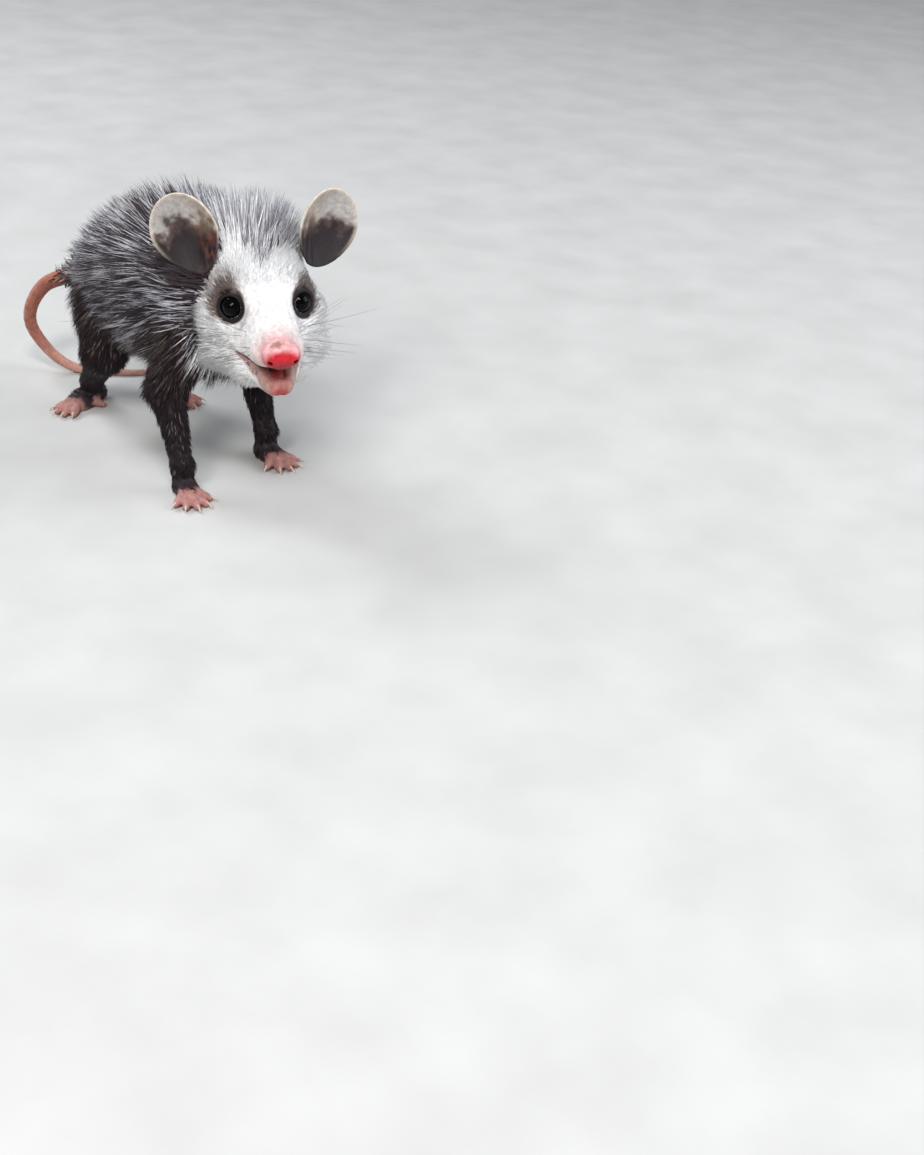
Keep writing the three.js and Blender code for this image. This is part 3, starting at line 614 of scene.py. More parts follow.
WHITE = rgb(0.93, 0.915, 0.91)
FACE_GREY = rgb(0.085, 0.052, 0.042)
CROWN_GREY = rgb(0.20, 0.18, 0.21)
NAPE_GREY = rgb(0.30, 0.29, 0.32)
GREY_SILVER = rgb(0.66, 0.655, 0.71)
CREAM = rgb(0.62, 0.53, 0.43)
BODY_DARK = rgb(0.030, 0.016, 0.0205)
BELLY_DARK = rgb(0.048, 0.028, 0.019)
UNDERFUR_TIP = rgb(0.070, 0.056, 0.066)
LEG_DARK = rgb(0.012, 0.0065, 0.0085)
WHISKER_PALE = rgb(0.6, 0.57, 0.55)
WHISKER_DARK = rgb(0.05, 0.04, 0.04)
PINK = rgb(0.60, 0.27, 0.23)
TOE_PINK = rgb(0.37, 0.175, 0.155)
NOSE_PINK = rgb(0.72, 0.40, 0.40)
NOSE_RED = rgb(0.55, 0.014, 0.026)
NOSE_BROWN = rgb(0.26, 0.12, 0.07)
MOUTH_RED = rgb(0.20, 0.012, 0.016)
TONGUE_RED = rgb(0.34, 0.05, 0.05)
LIP_TAN = rgb(0.42, 0.24, 0.20)
LIP_BROWN = rgb(0.08, 0.030, 0.024)
LIP_PINK = rgb(0.42, 0.16, 0.14)
LIP_RED = rgb(0.42, 0.045, 0.045)
LID_BLACK = rgb(0.004, 0.003, 0.0035)
EAR_DARK = rgb(0.012, 0.009, 0.011)
EAR_BROWN = rgb(0.095, 0.068, 0.058)
EAR_PALE = rgb(0.54, 0.525, 0.50)
EAR_FLUSH = rgb(0.20, 0.062, 0.038)
TAIL_PALE = rgb(0.52, 0.29, 0.23)
TAIL_WARM = rgb(0.38, 0.11, 0.06)
# Painted shade: the darker red laid on the tail's inner side, the side towards the body
TAIL_PAINTED_SHADE = rgb(0.24, 0.06, 0.035)
TAIL_BASE = rgb(0.13, 0.085, 0.075)


def wedge_share(q, rough):
    """The grey wedge on the forehead, widening from above the eyes to the crown."""
    x, y, z = q.T
    half = 1.2 + 8.0 * smooth(0, -16, x) + 6 * smooth(-17, -28, x)
    middle = -0.4 - 1.6 * smooth(-8, -18, x)
    across = smooth(1.8, -1.2, np.abs(y - middle) - half + rough)
    return across * smooth(2.5, -3.0, x + 1.5 * rough) * smooth(3, 8, z)


def face_marking(q):
    """Fur colour on the head, white with grey round the eyes, and how far a place is in the wedge."""
    x, _, z = q.T
    m = mirrored(q)
    rough = 0.8 * noise(q, 3.1, 5) + 0.4 * noise(q, 1.3, 6)
    eye = np.linalg.norm((m - EYE_AT - (-0.8, 0.8, 1.2)) / (1.05, 1, 1.0), axis=1)
    round_eye = smooth(8.0, 5.9, eye + rough * 0.7)
    to_ear = limb(m, EYE_AT + (-2.6, 2.2, 1.0), (-10, 14.5, 2.0), 3.3, 2.2)
    patch = smooth(2.8, -2.2, to_ear + rough) * (0.75 - 0.4 * smooth(-4, -13, x))
    dark = np.maximum(round_eye * 0.95, patch)
    ear = nearest_ear(q) + 2 * rough
    dark = np.maximum(dark, smooth(4.0, 1.2, ear) * smooth(14.5, 17.5, m[:, 1]) * 0.9)
    colour = WHITE * (FACE_GREY / WHITE) ** dark[:, None]
    nape = smooth(-23, -31, x + 0.15 * z + rough)
    return mix(colour, NAPE_GREY, nape * 0.6), wedge_share(q, rough)


def lip_pad(q):
    """The bare lower lip: narrow along the side of the mouth, and most of the chin's tip."""
    x = q[:, 0]
    low = below_lip(q)
    reach = 0.9 + 1.7 * smooth(8, 18, x) + 2.3 * smooth(18, 24, x)
    edge = smooth(0.9, -0.4, low - reach + 0.5 * noise(q, 1.5, 63))
    return edge * smooth(-0.5, 0.1, low) * smooth(5, 9, x)


def ear_coat(q, side):
    """Colour of one ear, dark at the base and pale at the top, and how far a place is on it."""
    u, w, front, rho = ear_space(q, side)
    out = u * side
    spots = 0.34 * noise(q, 5.0, 20 + side) + 0.26 * noise(q, 2.2, 30 + side)
    spots = spots + 0.12 * noise(q, 0.9, 40 + side)
    pale = smooth(-0.38, 0.42, w + 0.85 * spots - 0.06 - 0.1 * out)
    warm = np.exp(-(((out + 0.55) / 0.4) ** 2)) * smooth(-0.4, 0.3, w)
    # Painted highlight: a paler band along the upper part of the ear's rim
    edge = smooth(0.88, 0.97, rho) * smooth(-0.7, 0.1, w)
    flush = np.exp(-(((out + 0.5) / 0.3) ** 2)) * smooth(0.3, -0.15, w) * smooth(-1.1, -0.6, w)
    flush = flush * (front > 0) * smooth(-0.5, 0.4, noise(q, 1.7, 50 + side)) * (0.35 - 0.3 * side)
    tint = layered(
        EAR_DARK,
        (EAR_BROWN, smooth(0.0, 0.5, pale)),
        (EAR_PALE, smooth(0.45, 1.0, pale)),
        (EAR_PALE * (0.8, 0.64, 0.5), warm * 0.5),
        # painted highlight along the ear's upper rim
        (EAR_PALE * (1.3, 1.22, 1.05), edge * 0.65),
        (EAR_FLUSH, flush),
    )
    return tint, smooth(0.7, 0.15, ear_distance(q, side)) * smooth(1.25, 1.1, -w)


def head_skin(q):
    """Colour of the head's skin, and how wet it is."""
    x, y, z = q.T
    marking, wedge = face_marking(q)
    marking = mix(marking, CROWN_GREY, wedge * 0.7)
    blotch = noise(q, 1.6, 3)
    pad = nose_pad(q.astype(np.float32))
    red = np.linalg.norm((q - (34.4, 0, -7.4)) / (4.8, 7.2, 4.3), axis=1)
    smudge = np.linalg.norm((q - (32.4, -1.8, -1.5)) / (1.7, 2.6, 1.6), axis=1)
    slot, low, wide = mouth_slot(q), below_lip(q), np.abs(y)
    lip = smooth(1.5, 0.3, slot) * smooth(4.5, 8, x)
    speckle = smooth(0.05, 0.45, noise(q, 0.9, 8) + 0.25 * noise(q, 0.45, 10))
    tan = mix(LIP_TAN, LIP_BROWN, speckle * smooth(24, 17, x) * 0.85)
    chin = smooth(18, 22.5, x) * smooth(-0.4, 0.3, low) * smooth(4.4, 2.4, wide + blotch)
    chin_red = mix(LIP_PINK, LIP_RED, smooth(1.8, 3.4, low + 0.6 * blotch) * smooth(3.2, 1.2, wide))
    deep = smooth(0.35, -0.25, slot) * smooth(5, 7, x) * smooth(0.5, -0.2, low)
    palate = smooth(-11.4, -12.4, z) * smooth(15, 17, x) * smooth(-0.6, -1.2, low) * smooth(4.6, 3.4, wide)
    on_tongue = smooth(0.25, 0.0, np.abs(tongue(q))) * smooth(7, 10, x) * smooth(1.2, 0.2, low)
    colour = layered(
        marking * 0.85 + PINK * 0.05,
        (PINK, smooth(19, 26, x) * 0.4),
        (NOSE_PINK, smooth(4.2, 0.6, pad + 0.8 * blotch)),
        (NOSE_RED, smooth(1.25, 0.7, red + 0.12 * blotch)),
        # Painted shade: the nose's red is darkened on its lower half, its underside
        (NOSE_RED * 0.35, smooth(-6.6, -10.2, z + 0.4 * blotch) * smooth(1.15, 0.8, red) * 0.9),
        (NOSE_BROWN, smooth(1.2, 0.4, smudge + 0.35 * noise(q, 0.9, 4)) * 0.75),
        (tan, np.maximum(lip, lip_pad(q)) * 0.92),
        (chin_red, chin * 0.9),
        (MOUTH_RED, deep),
        (MOUTH_RED * (1.6, 1, 1), palate),
        (TONGUE_RED, on_tongue),
        (MOUTH_RED * 0.5, smooth(0.45, -0.1, nostrils(q))),
    )
    for side in LEFT_RIGHT:
        rim = smooth(7.0, 6.1, np.linalg.norm(eye_space(q, side), axis=1))
        colour = layered(colour, (LID_BLACK, rim), ear_coat(q, side))
    return colour, np.maximum(smooth(0.7, 0.1, pad), deep)


def tail_place(p):
    """How far along the tail a place is, how far round to its inner side, and its share in the tail."""
    near = np.full(len(p), 99.0)
    along, inner = np.zeros((2, len(p)))
    for t, a, b, ra, rb in TAIL_PIECES:
        d = limb(p.astype(np.float32), a, b, ra, rb)
        closer = d < near
        near[closer] = d[closer]
        share = ((p[closer] - a) @ (b - a) / ((b - a) @ (b - a))).clip(0, 1)
        along[closer] = t + share * (TAIL_T[1] - TAIL_T[0])
        inner[closer] = (p[closer] - a - share[:, None] * (b - a))[:, 0] / ra
    return along, inner, smooth(0.6, 0.1, near) * smooth(-66, -70, p[:, 0])


def skin_colours(p):
    """Colour of the skin, and for its material how wet it is, its place along the tail and share in it."""
    q, height = to_head(p), p[:, 2]
    head_part = smooth(2.5, -0.5, head_field(q))
    head_part *= smooth(-30, -18, q[:, 0])
    spot = noise(p, 2.2, 9)
    feet = layered(
        LEG_DARK * 2.2,
        (TOE_PINK, smooth(2.2, 0.2, on_toes(p) + spot * 0.6)),
        (TOE_PINK * 0.85, smooth(2.0, 0.9, height)),
    )
    along, inner, on_tail = tail_place(p)
    tail_tint = layered(
        TAIL_PALE,
        (TAIL_WARM, smooth(0.46, 0.14, along + 0.05 * spot) * 0.85),
        # painted shade: the tail's inner side, towards the body, is darkened for the shade that falls there
        (TAIL_PAINTED_SHADE, smooth(-0.4, 0.8, inner + 0.3 * spot) * smooth(0.7, 0.45, along) * 0.8),
        (TAIL_BASE, smooth(0.18, 0.04, along + 0.008 * spot)),
    )
    face, wet = head_skin(q)
    colour = layered(
        BODY_DARK * 1.3,
        (LEG_DARK, smooth(45, 30, height)),
        (feet, smooth(9.5, 6.5, height + spot * 0.8)),
        (tail_tint, on_tail),
        (face, head_part),
    )
    return np.clip(colour, 0, 1), {"wet": wet * head_part, "ring": along, "bare": on_tail}


def refined(vertices, quads):
    """The same skin with smaller faces on the eyes, nose, mouth, ears and feet, as triangles."""
    q = to_head(vertices).astype(np.float32)
    fine = (nose_pad(q) < 3) | ((np.abs(mouth_slot(q)) < 3) & (q[:, 0] > 3) & (jaw(q) < 4))
    for side in LEFT_RIGHT:
        fine |= np.linalg.norm(eye_space(q, side), axis=1) < 8.5
        fine |= (ear_distance(q, side) < 0.8) & (ear_space(q, side)[3] > 0.86)
    fine |= (vertices[:, 2] < 5.5) & (vertices[:, 2] > 0.2) & (on_toes(vertices) < 1)
    work = bmesh.new()
    points = [work.verts.new(v) for v in vertices]
    for face in quads:
        work.faces.new([points[i] for i in face])
    work.verts.index_update()
    edges = [e for e in work.edges if fine[e.verts[0].index] and fine[e.verts[1].index]]
    bmesh.ops.subdivide_edges(work, edges=edges, cuts=1, use_grid_fill=True)
    bmesh.ops.triangulate(work, faces=work.faces)
    work.verts.index_update()
    denser = np.array([v.co for v in work.verts])
    faces = np.array([[v.index for v in f.verts] for f in work.faces])
    work.free()
    return onto_surface(denser, 3), faces


vertices, quads = surface_net(body, SKIN_LOW, SKIN_HIGH, VOXEL)
vertices = onto_surface(vertices, 2)
close_vertices, close_faces = refined(vertices, quads)
tints, shares = skin_colours(close_vertices)
skin = make_mesh("skin", close_vertices, close_faces, tints, shares)
print("skin", len(close_vertices), "vertices", len(close_faces), "triangles")

FLESH = [
    "head", "lower_jaw", "nose", "tongue", "ear_left", "ear_right", "neck", "torso",
    "upper_arm_left", "upper_arm_right", "forearm_left", "forearm_right", "hand_left", "hand_right",
    "thigh_left", "thigh_right", "shank_left", "shank_right", "foot_left", "foot_right",
    "tail_base", "tail_upper", "tail_bend", "tail_lower", "tail_tip",
]
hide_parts(*FLESH)


# Materials
def material(name, roughness, specular, sheen=0.0, subsurface=0.0):
    """A Principled material, its tree, and the shader."""
    mat = bpy.data.materials.new(name)
    mat.use_nodes = True
    tree = mat.node_tree
    shader = tree.nodes["Principled BSDF"]
    shader.inputs["Roughness"].default_value = roughness
    shader.inputs["Specular IOR Level"].default_value = specular
    shader.inputs["Sheen Weight"].default_value = sheen
    shader.inputs["Subsurface Weight"].default_value = subsurface
    shader.inputs["Subsurface Scale"].default_value = 0.004
    return mat, tree, shader


def node(tree, kind, **sockets):
    """A node with these values and links on its sockets."""
    made = tree.nodes.new(kind)
    for key, value in sockets.items():
        socket = made.inputs[key.replace("_", " ")]
        if isinstance(value, (int, float)):
            socket.default_value = value
        else:
            tree.links.new(value, socket)
    return made


def place(tree):
    """Object coordinates in millimetres."""
    grow = tree.nodes.new("ShaderNodeVectorMath")
    grow.operation = "SCALE"
    grow.inputs["Scale"].default_value = 1 / MM
    tree.links.new(tree.nodes.new("ShaderNodeTexCoord").outputs["Object"], grow.inputs[0])
    return grow.outputs[0]


def attribute(tree, name):
    made = tree.nodes.new("ShaderNodeAttribute")
    made.attribute_name = name
    return made


def reckon(tree, kind, a, b=0.0):
    made = tree.nodes.new("ShaderNodeMath")
    made.operation = kind
    for socket, value in zip(made.inputs, (a, b)):
        if isinstance(value, (int, float)):
            socket.default_value = value
        else:
            tree.links.new(value, socket)
    return made.outputs[0]


def ramp(tree, fac, *stops):
    """A colour or a grey for each value, from stops that are a place and a colour or grey."""
    made = tree.nodes.new("ShaderNodeValToRGB")
    for element, (at, value) in zip(made.color_ramp.elements, stops):
        element.position = at
        element.color = (*value, 1) if isinstance(value, tuple) else (value, value, value, 1)
    tree.links.new(fac, made.inputs[0])
    return made.outputs[0]


def tinted(tree, fac, low, high):
    """The colour of each point times a grey that runs from low to high with fac."""
    made = tree.nodes.new("ShaderNodeMix")
    made.data_type = "RGBA"
    made.blend_type = "MULTIPLY"
    made.inputs[0].default_value = 1
    tree.links.new(attribute(tree, "tint").outputs["Color"], made.inputs[6])
    tree.links.new(ramp(tree, fac, (0.3, low), (0.7, high)), made.inputs[7])
    return made.outputs[2]


def dress(tree, shader, colour, rough, height, strength, distance):
    """Links the colour and roughness to the shader, and a bump of this strength."""
    bump = node(tree, "ShaderNodeBump", Strength=strength, Distance=distance, Height=height)
    for socket, value in (("Base Color", colour), ("Roughness", rough), ("Normal", bump.outputs[0])):
        tree.links.new(value, shader.inputs[socket])


def skin_material():
    mat, tree, shader = material("skin", 0.5, 0.3, subsurface=0.2)
    wet, ring, bare = (attribute(tree, name).outputs["Fac"] for name in ("wet", "ring", "bare"))
    where = place(tree)
    mottle = node(tree, "ShaderNodeTexNoise", Scale=0.55, Detail=6.0, Roughness=0.62, Vector=where)
    pebbles = node(tree, "ShaderNodeTexVoronoi", Scale=1.35, Vector=where)
    fine = node(tree, "ShaderNodeTexNoise", Scale=2.6, Detail=4.0, Vector=where).outputs[0]
    rings = reckon(tree, "SINE", reckon(tree, "MULTIPLY", ring, TAIL_RINGS * 2 * math.pi))
    rings = reckon(tree, "MULTIPLY", reckon(tree, "MULTIPLY", rings, bare), 0.9)
    grain = reckon(tree, "ADD", reckon(tree, "MULTIPLY", pebbles.outputs["Distance"], 0.6), fine)
    wetness = reckon(tree, "SUBTRACT", wet, reckon(tree, "MULTIPLY", fine, 0.25))
    colour = tinted(tree, mottle.outputs[0], 0.72, 1.22)
    rough = ramp(tree, wetness, (0.0, 0.58), (0.75, 0.2))
    dress(tree, shader, colour, rough, reckon(tree, "ADD", grain, rings), strength=0.4, distance=0.0003)
    return mat


def grained(name, roughness, specular, scale, detail, colours, rough, strength, distance=0.0001, sheen=0.0):
    """A material whose colour, roughness and bump follow one noise.

    The colours are two stops or, as two greys, what the colour of each point is multiplied by.
    """
    mat, tree, shader = material(name, roughness, specular, sheen)
    grain = node(tree, "ShaderNodeTexNoise", Scale=scale, Detail=detail, Vector=place(tree)).outputs[0]
    stops = isinstance(colours[0], tuple)
    colour = ramp(tree, grain, *colours) if stops else tinted(tree, grain, *colours)
    rough = ramp(tree, grain, (0.3, rough[0]), (0.7, rough[1]))
    dress(tree, shader, colour, rough, grain, strength, distance)
    return mat


def hair_material(name, roughness, sheen, low, high):
    """The look of fur, darker and lighter than the hairs' own colours from low to high."""
    rough = (roughness - 0.08, roughness + 0.1)
    return grained(name, roughness, specular=0.25, scale=0.9, detail=3.0, colours=(low, high), rough=rough,
                   strength=0.15, sheen=sheen)


skin.data.materials.append(skin_material())


# Eyes: a dark ball with a slightly raised cornea in each socket
def ball(name, centre, axes, segments=64, rings=40):
    polar = np.linspace(0, math.pi, rings + 1)[1:-1]
    round_ = np.linspace(0, 2 * math.pi, segments, endpoint=False)
    a, b = np.meshgrid(polar, round_, indexing="ij")
    local = np.stack([np.cos(a), np.sin(a) * np.cos(b), np.sin(a) * np.sin(b)], -1).reshape(-1, 3)
    local = local * (EYE_RADIUS * (1 + CORNEA_BULGE * smooth(0.72, 1, local[:, :1])))
    faces = []
    for r in range(rings - 2):
        for s in range(segments):
            here, there, t = r * segments, (r + 1) * segments, (s + 1) % segments
            faces.append((here + s, there + s, there + t, here + t))
    made = make_mesh(name, local @ axes.T + centre, faces)
    work = bmesh.new()
    work.from_mesh(made.data)
    bmesh.ops.holes_fill(work, edges=[e for e in work.edges if e.is_boundary], sides=0)
    bmesh.ops.triangulate(work, faces=[f for f in work.faces if len(f.verts) > 4])
    bmesh.ops.recalc_face_normals(work, faces=work.faces)
    work.to_mesh(made.data)
    work.free()
    made.data.shade_smooth()
    return made


eye_stops = ((0.35, (0.0004, 0.0003, 0.0008)), (0.75, (0.0018, 0.0012, 0.002)))
eye_look = grained("eye", 0.12, specular=0.1, scale=0.5, detail=3.0, colours=eye_stops,
                   rough=(0.09, 0.14), strength=0.03)
for label, side in (("left", 1), ("right", -1)):
    eye = ball("eyeball_" + label, from_head(EYE_AT * (1, side, 1)), HEAD_TURN @ eye_turn(side))
    eye.data.materials.append(eye_look)
    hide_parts("eye_" + label)


# Tubes: claws and whiskers
def tubes(name, paths, radius, sides, tints=None):
    """Joined tapered tubes along the paths, with the radius at each point of a path."""
    points, faces, base = [], [], 0
    spin = np.linspace(0, 2 * math.pi, sides, endpoint=False)[None, :, None]
    for path in paths:
        along = unit(np.gradient(path, axis=0))
        guide = np.array([0.0, 0, 1]) if abs(along[0, 2]) < 0.9 else np.array([1.0, 0, 0])
        u = unit(np.cross(along, guide))
        v = np.cross(along, u)
        ring = u[:, None] * np.cos(spin) + v[:, None] * np.sin(spin)
        points.append((path[:, None] + ring * radius[:, None, None]).reshape(-1, 3))
        top = base + (len(path) - 1) * sides
        for here in range(base, top, sides):
            for s in range(sides):
                t = (s + 1) % sides
                a, b, c, d = here + s, here + t, here + sides + t, here + sides + s
                faces += [(a, b, c), (a, c, d)]
        for s in range(1, sides - 1):
            faces += [(base, base + s + 1, base + s), (top, top + s, top + s + 1)]
        base = top + sides
    colours = None if tints is None else np.repeat(tints, len(radius) * sides, axis=0)
    return make_mesh(name, np.vstack(points), faces, colours)


TUBE_POINTS = 9
CLAW_RADII = np.linspace(1, 0.12, TUBE_POINTS) ** 0.7 * 0.62
claw_paths = []
for leg in LEGS.values():
    for path, out, thumb in toes(leg):
        if not thumb:
            tip = path[-1]
            root = tip - out * 1.6 + (0, 0, 0.75)
            point = tip + out * 3.0 + (0, 0, -0.75)
            claw_paths.append(bezier(root, tip + out * 1.6 + (0, 0, 1.1), point, TUBE_POINTS))
claws = tubes("claws", claw_paths, CLAW_RADII, 10)
claw_stops = ((0.3, (0.36, 0.26, 0.19)), (0.7, (0.66, 0.55, 0.45)))
claw_look = grained("claw", 0.3, specular=0.5, scale=1.6, detail=4.0, colours=claw_stops,
                    rough=(0.22, 0.42), strength=0.2)
claws.data.materials.append(claw_look)


# The coat: tapered three-sided tufts, rooted in the skin and lying along it
LOCK_REACH, ROOT_DEPTH, FLOOR_GAP = 4.0, 0.35, 0.4
PATCH, PIECE_LIMIT = 0.003, 195000


def outward(vertices, quads):
    """Smooth normals of the skin at its vertices."""
    corner = vertices[quads]
    face = np.cross(corner[:, 2] - corner[:, 0], corner[:, 3] - corner[:, 1])
    total = np.zeros_like(vertices)
    for i in range(4):
        for axis in range(3):
            total[:, axis] += np.bincount(quads[:, i], face[:, axis], len(vertices))
    return unit(total)


def bare_places(p, q):
    """One where the skin has no coat: nose, lips, lids, ears, toes, soles and tail."""
    along, _, on_tail = tail_place(p)
    bare = [
        smooth(2.6, 1.2, nose_pad(q.astype(np.float32)) + 0.5 * noise(q, 1.2, 61)),
        smooth(1.5, 0.8, mouth_slot(q)) * smooth(5, 7.5, q[:, 0]),
        lip_pad(q),
        smooth(1.6, 0.6, on_toes(p)) * smooth(8, 6, p[:, 2]),
        smooth(2.4, 1.4, p[:, 2]),
        on_tail * smooth(0.10, 0.22, along + 0.01 * noise(p, 2, 62)),
    ]
    for side in LEFT_RIGHT:
        bare.append(smooth(5.9, 5.3, np.linalg.norm(eye_space(q, side), axis=1)))
        bare.append(smooth(2.6, 1.4, ear_distance(q, side)) * smooth(1.35, 1.2, -ear_space(q, side)[1]))
    return np.maximum.reduce(bare)


def leg_shares(p):
    """How far each point belongs to a leg, and which leg is the nearest."""
    near = np.full(len(p), 99.0)
    which = np.zeros(len(p), int)
    for k, leg in enumerate(LEGS.values()):
        d = leg_form(p.astype(np.float32), leg)
        closer = d < near
        near[closer] = d[closer]
        which[closer] = k
    share = smooth(-2.5, 3.5, trunk(p.astype(np.float32)) - near) * smooth(-66, -60, p[:, 0])
    return share, which


normals = outward(vertices, quads)
skin_in_head = to_head(vertices)
head_share = smooth(4.0, 1.2, head_field(skin_in_head))
head_share *= smooth(-27, -15, skin_in_head[:, 0])
bare_share = bare_places(vertices, skin_in_head)
leg_share, leg_index = leg_shares(vertices)
leg_share *= 1 - head_share
trunk_share = (1 - head_share) * (1 - bare_share)
body_only = trunk_share * (1 - leg_share)


def head_coat(q):
    """How deep the coat is on the head."""
    x, _, z = q.T
    eye = np.linalg.norm(mirrored(q) - EYE_AT, axis=1)
    cheek = smooth(12, -8, x) * smooth(4.5, 10, eye) * (2.4 + 1.7 * smooth(4, -8, z))
    ruff = 1.6 * smooth(-8, -18, x) * smooth(6, -2, z)
    under = 3.1 * smooth(-12, -18, z) * smooth(21, 8, x)
    return 0.5 + 0.5 * smooth(26, 8, x) + cheek + ruff + under + 7.2 * smooth(-4, -17, x) * smooth(5, 14, z)


def flat_on(direction, n):
    """The direction laid along the surface."""
    return unit(direction - n * (direction * n).sum(1, keepdims=True))


def lie_of(p, n, head_part, leg_part, which):
    """Which way the coat lies: back on the trunk, down the legs, and away from the nose on the head."""
    back = np.zeros_like(p)
    back[:, 0] = -1
    back[:, 2] = -0.42 * (1 - np.maximum(0, n[:, 2]))
    back[:, 2] -= 0.5 * smooth(20, 45, p[:, 0]) * smooth(70, 50, p[:, 2])
    q = to_head(p)
    away = q - (37, 0, -7)
    away[:, 2] -= 8 * smooth(4, -12, q[:, 2])
    away = unit(away)
    away[:, 1] += 0.42 * smooth(10, -4, q[:, 0]) * smooth(3, 10, q[:, 2])
    down = np.zeros_like(p)
    for k, leg in enumerate(LEGS.values()):
        low = smooth(leg["bend"][2] + 4, leg["bend"][2] - 4, p[:, 2])
        upper = unit(np.subtract(leg["bend"], leg["root"]).astype(float))
        lower = unit(np.subtract(leg["end"], leg["bend"]).astype(float))
        along = mix(upper + (-0.5, 0, -0.2), lower + (-0.25, 0, -0.2), low)
        down = np.where((which == k)[:, None], along, down)
    lie = mix(mix(unit(back), unit(down), leg_part), away @ HEAD_TURN.T, head_part)
    swirl = np.stack([noise(p, 7.5, 70 + i) * 0.32 + noise(p, 2.8, 80 + i) * 0.2 for i in range(3)], 1)
    swirl *= (1 - 0.6 * head_part)[:, None]
    return flat_on(lie + swirl, n)


def scatter(density, stray=0.16):
    """Random places on the skin, as many to the square millimetre as the density at each vertex says.

    Gives the place, the normal, the way the hair lies, the share in a leg, and the leg's number.
    """
    a, b, c, d = quads.T
    faces = np.vstack([np.stack([a, b, c], 1), np.stack([a, c, d], 1)])
    corner = vertices[faces]
    area = np.linalg.norm(np.cross(corner[:, 1] - corner[:, 0], corner[:, 2] - corner[:, 0]), axis=1) / 2
    count = rng.poisson(area * density[faces].mean(1))
    chosen = faces[np.repeat(np.arange(len(faces)), count)]
    w = rng.random((len(chosen), 2))
    over = w.sum(1) > 1
    w[over] = 1 - w[over]
    w = np.column_stack([1 - w.sum(1), w])

    def at(values):
        return (values[chosen] * (w[..., None] if values.ndim > 1 else w)).sum(1)

    p, n, leg_part, which = at(vertices), unit(at(normals)), at(leg_share), leg_index[chosen[:, 0]]
    lie = lie_of(p, n, at(head_share), leg_part, which)
    return p, n, flat_on(lie + rng.normal(0, stray, p.shape), n), leg_part, which


def unwrapped(p, region, which):
    """Each root's place on an unwrap of the skin: along the body, head or leg, and round it."""
    if region == "leg":
        middle = np.zeros((len(p), 2))
        for k, leg in enumerate(LEGS.values()):
            stops = np.array([leg["end"], leg["bend"], leg["root"]], float)
            line = np.stack([np.interp(p[:, 2], stops[:, 2], stops[:, i]) for i in range(2)], 1)
            middle = np.where((which == k)[:, None], line, middle)
        out = p[:, :2] - middle
        v = np.arctan2(out[:, 1], out[:, 0]) / (2 * math.pi) + 0.5
        u = (which + 0.03 + 0.94 * (p[:, 2] / 80).clip(0, 1)) / len(LEGS)
        return np.column_stack([u, v.clip(0, 1) * 0.96 + 0.02])
    if region == "head":
        q = to_head(p)
        u, out = (q[:, 0] + 34) / 74, q + (0, 0, 5)
    else:
        u, out = (p[:, 0] + 80) / 140, p - near_spine(p)
    v = np.arctan2(out[:, 1], out[:, 2]) / (2 * math.pi) + 0.5
    return np.column_stack([u, v]).clip(0, 1) * 0.96 + 0.02


def locks(root, spacing):
    """For each root, the nearest of a few roots picked at random: the middle of its lock."""
    total = max(8, int(len(root) * spacing))
    centres = rng.choice(len(root), total, replace=False)
    tree = kdtree.KDTree(total)
    for i, c in enumerate(centres):
        tree.insert(root[c], i)
    tree.balance()
    return centres[[tree.find(r)[1] for r in root]]


def gathered(root, tip, own, pull):
    """Draws the tips together in locks."""
    reach = np.linalg.norm(tip - root, axis=1)
    aim = root[own] + (tip[own] - root[own]) * (reach / np.maximum(reach[own], 1e-6))[:, None]
    close = np.exp(-((np.linalg.norm(root - root[own], axis=1) / LOCK_REACH) ** 2))
    return mix(tip, aim, pull * close)


# For each region of the coat: its material, and its slot in the record
COAT = {
    "trunk": (hair_material("trunk_hair", 0.5, sheen=0.05, low=0.75, high=1.2), "body_coat"),
    "head": (hair_material("head_hair", 0.6, sheen=0.2, low=0.93, high=1.07), "face_coat"),
    "leg": (hair_material("leg_hair", 0.6, sheen=0.0, low=0.75, high=1.2), "leg_coat"),
}


